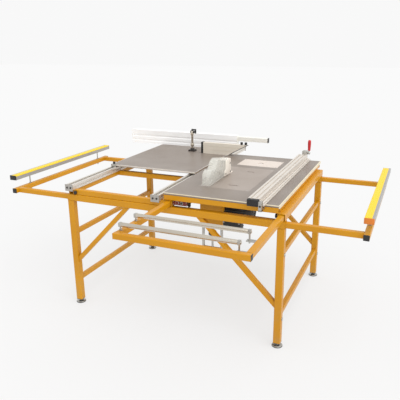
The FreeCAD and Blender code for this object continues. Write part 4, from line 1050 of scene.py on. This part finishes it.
# %% End caps
CAP_DEPTH = 5
bar_caps = {"left": [], "right": []}
for side in bar_caps:
    for node in (f"{side}_cross_tube", f"{side}_support_bar"):
        x, y, z = at(node)
        for outer, inner in ((y[0] - CAP_DEPTH, y[0]), (y[1] + CAP_DEPTH, y[1])):
            cap = soften(block("cap", x, sorted((outer, inner)), z), 2.2, 3)
            if node == "right_support_bar" and outer < 0:
                hand_over("right_bar_front_cap", [cap], "right_extension", orange, "black_plastic")
            else:
                bar_caps[side].append(cap)
for side, group in bar_caps.items():
    hand_over(f"{side}_caps", group, f"{side}_extension", black, "black_plastic", f"{side}_end_caps")

# %% Caps of the front tube
x, y, z = at("front_cross_tube")
tube_section = [(low + 0.5, high - 0.5) for low, high in (y, z)]
ends = [(low - 0.8, low + 2.2) for low in (x[0], x[1] - 1.4)]
front_caps = [soften(block("cap", end, *tube_section), 1, 2) for end in ends]
hand_over("front_tube_caps", front_caps, "front_extension", black, "black_plastic")

# %% [markdown]
# ## Rail end bolts
# Each end of a rail carries a pressed plate, held by two bolts with a washer under each head.

# %% Rail end bolts
RAIL_WIDTH, BOLT_INSET = 48, 12
rail_bolts = []
x, y, z = at("rail_end_plates")
for rail_left in (x[0] + 3, x[1] - 3 - RAIL_WIDTH):
    for end, away in ((y[0], -1), (y[1], 1)):
        for place in (rail_left + BOLT_INSET, rail_left + RAIL_WIDTH - BOLT_INSET):
            rail_bolts += bolt_head("bolt", "y", (place, middle(z)), 5.4, end, end + away * 3.4, 5.8)
hand_over("rail_end_bolts", rail_bolts, "frame", dark_zinc, "steel")

# %% [markdown]
# ## Switch box
# The switch hangs under the front edge, just left of the saw. Its two buttons sit in round collars: a
# small one starts the saw and a wider one stops it. The housing has a lid with four screws.

# %% Switch lid
def button_place(node):
    """A button's centre across Y, its radius, and its span along Y."""
    across, deep, up = at(node)
    return (middle(across), middle(up)), (across[1] - across[0]) / 2, deep


x, y, z = at("switch_box")
lid = soften(block("lid", (x[0] - 1.5, x[1] + 1.5), (y[0] - 2.5, y[0] + 2), (z[0] - 1, z[1] - 1)), 1.5)
wells = []
for node in ("start_button", "stop_button"):
    centre, radius, deep = button_place(node)
    wells.append(rod("well", "y", centre, radius + 0.4, y[0] - 4, y[0] + 4, 32))
hand_over("switch_lid", [drilled(lid, *wells)], "frame", dark_red, "black_plastic")

# %% Switch screws and collars
lid_fittings = []
dish = [(0, y[0] - 2.3), (2.3, y[0] - 2.3), (2.3, y[0] - 3.1), (0, y[0] - 3.3)]
for place_x in (x[0] + 4, x[1] - 4):
    for place_z in (z[0] + 4, z[1] - 6):
        lid_fittings.append(turned("screw", "y", (place_x, place_z), dish, 16))
for node in ("start_button", "stop_button"):
    centre, radius, deep = button_place(node)
    inner, outer = radius + 0.5, radius + 2.2
    ring = [(inner, y[0] - 2.4), (outer, y[0] - 2.4), (outer, y[0] - 3.4), (radius + 1, y[0] - 4),
            (inner, y[0] - 4), (inner, y[0] - 2.4)]
    lid_fittings.append(turned("ring", "y", centre, ring, 32))
hand_over("switch_rings", lid_fittings, "frame", zinc, "black_plastic")

# %% Buttons
BUTTONS = (("start_button", dark_zinc, "black_plastic"), ("stop_button", dark_red, "red_plastic"))
for node, finish, slot in BUTTONS:
    centre, radius, (front, back) = button_place(node)
    rim = radius - 0.2
    shape = [(0, back), (rim, back), (rim, front + 1.2), (radius - 1.4, front), (0, front + 0.6)]
    button = turned(node, "y", centre, shape, 32)
    hand_over(node + "_cap", [soften(button, 0.3)], node, finish, slot, node)

# %% [markdown]
# ## Floor finish
# A backlit sheet glows evenly, so it is mostly emission with a little white paint under it. What stands
# on it still darkens the painted part, and that faint shade is what seats the feet.

# %% Floor finish
FLOOR_GLOW, FLOOR_TONE = 0.62, 0.24
white = Finish("studio_floor", Roughness=0.9, Base_Color=(FLOOR_TONE,) * 3 + (1,),
               Emission_Strength=FLOOR_GLOW, Emission_Color=(1, 1, 1, 1), Specular_IOR_Level=0.0)
floor.data.materials.append(white.material)
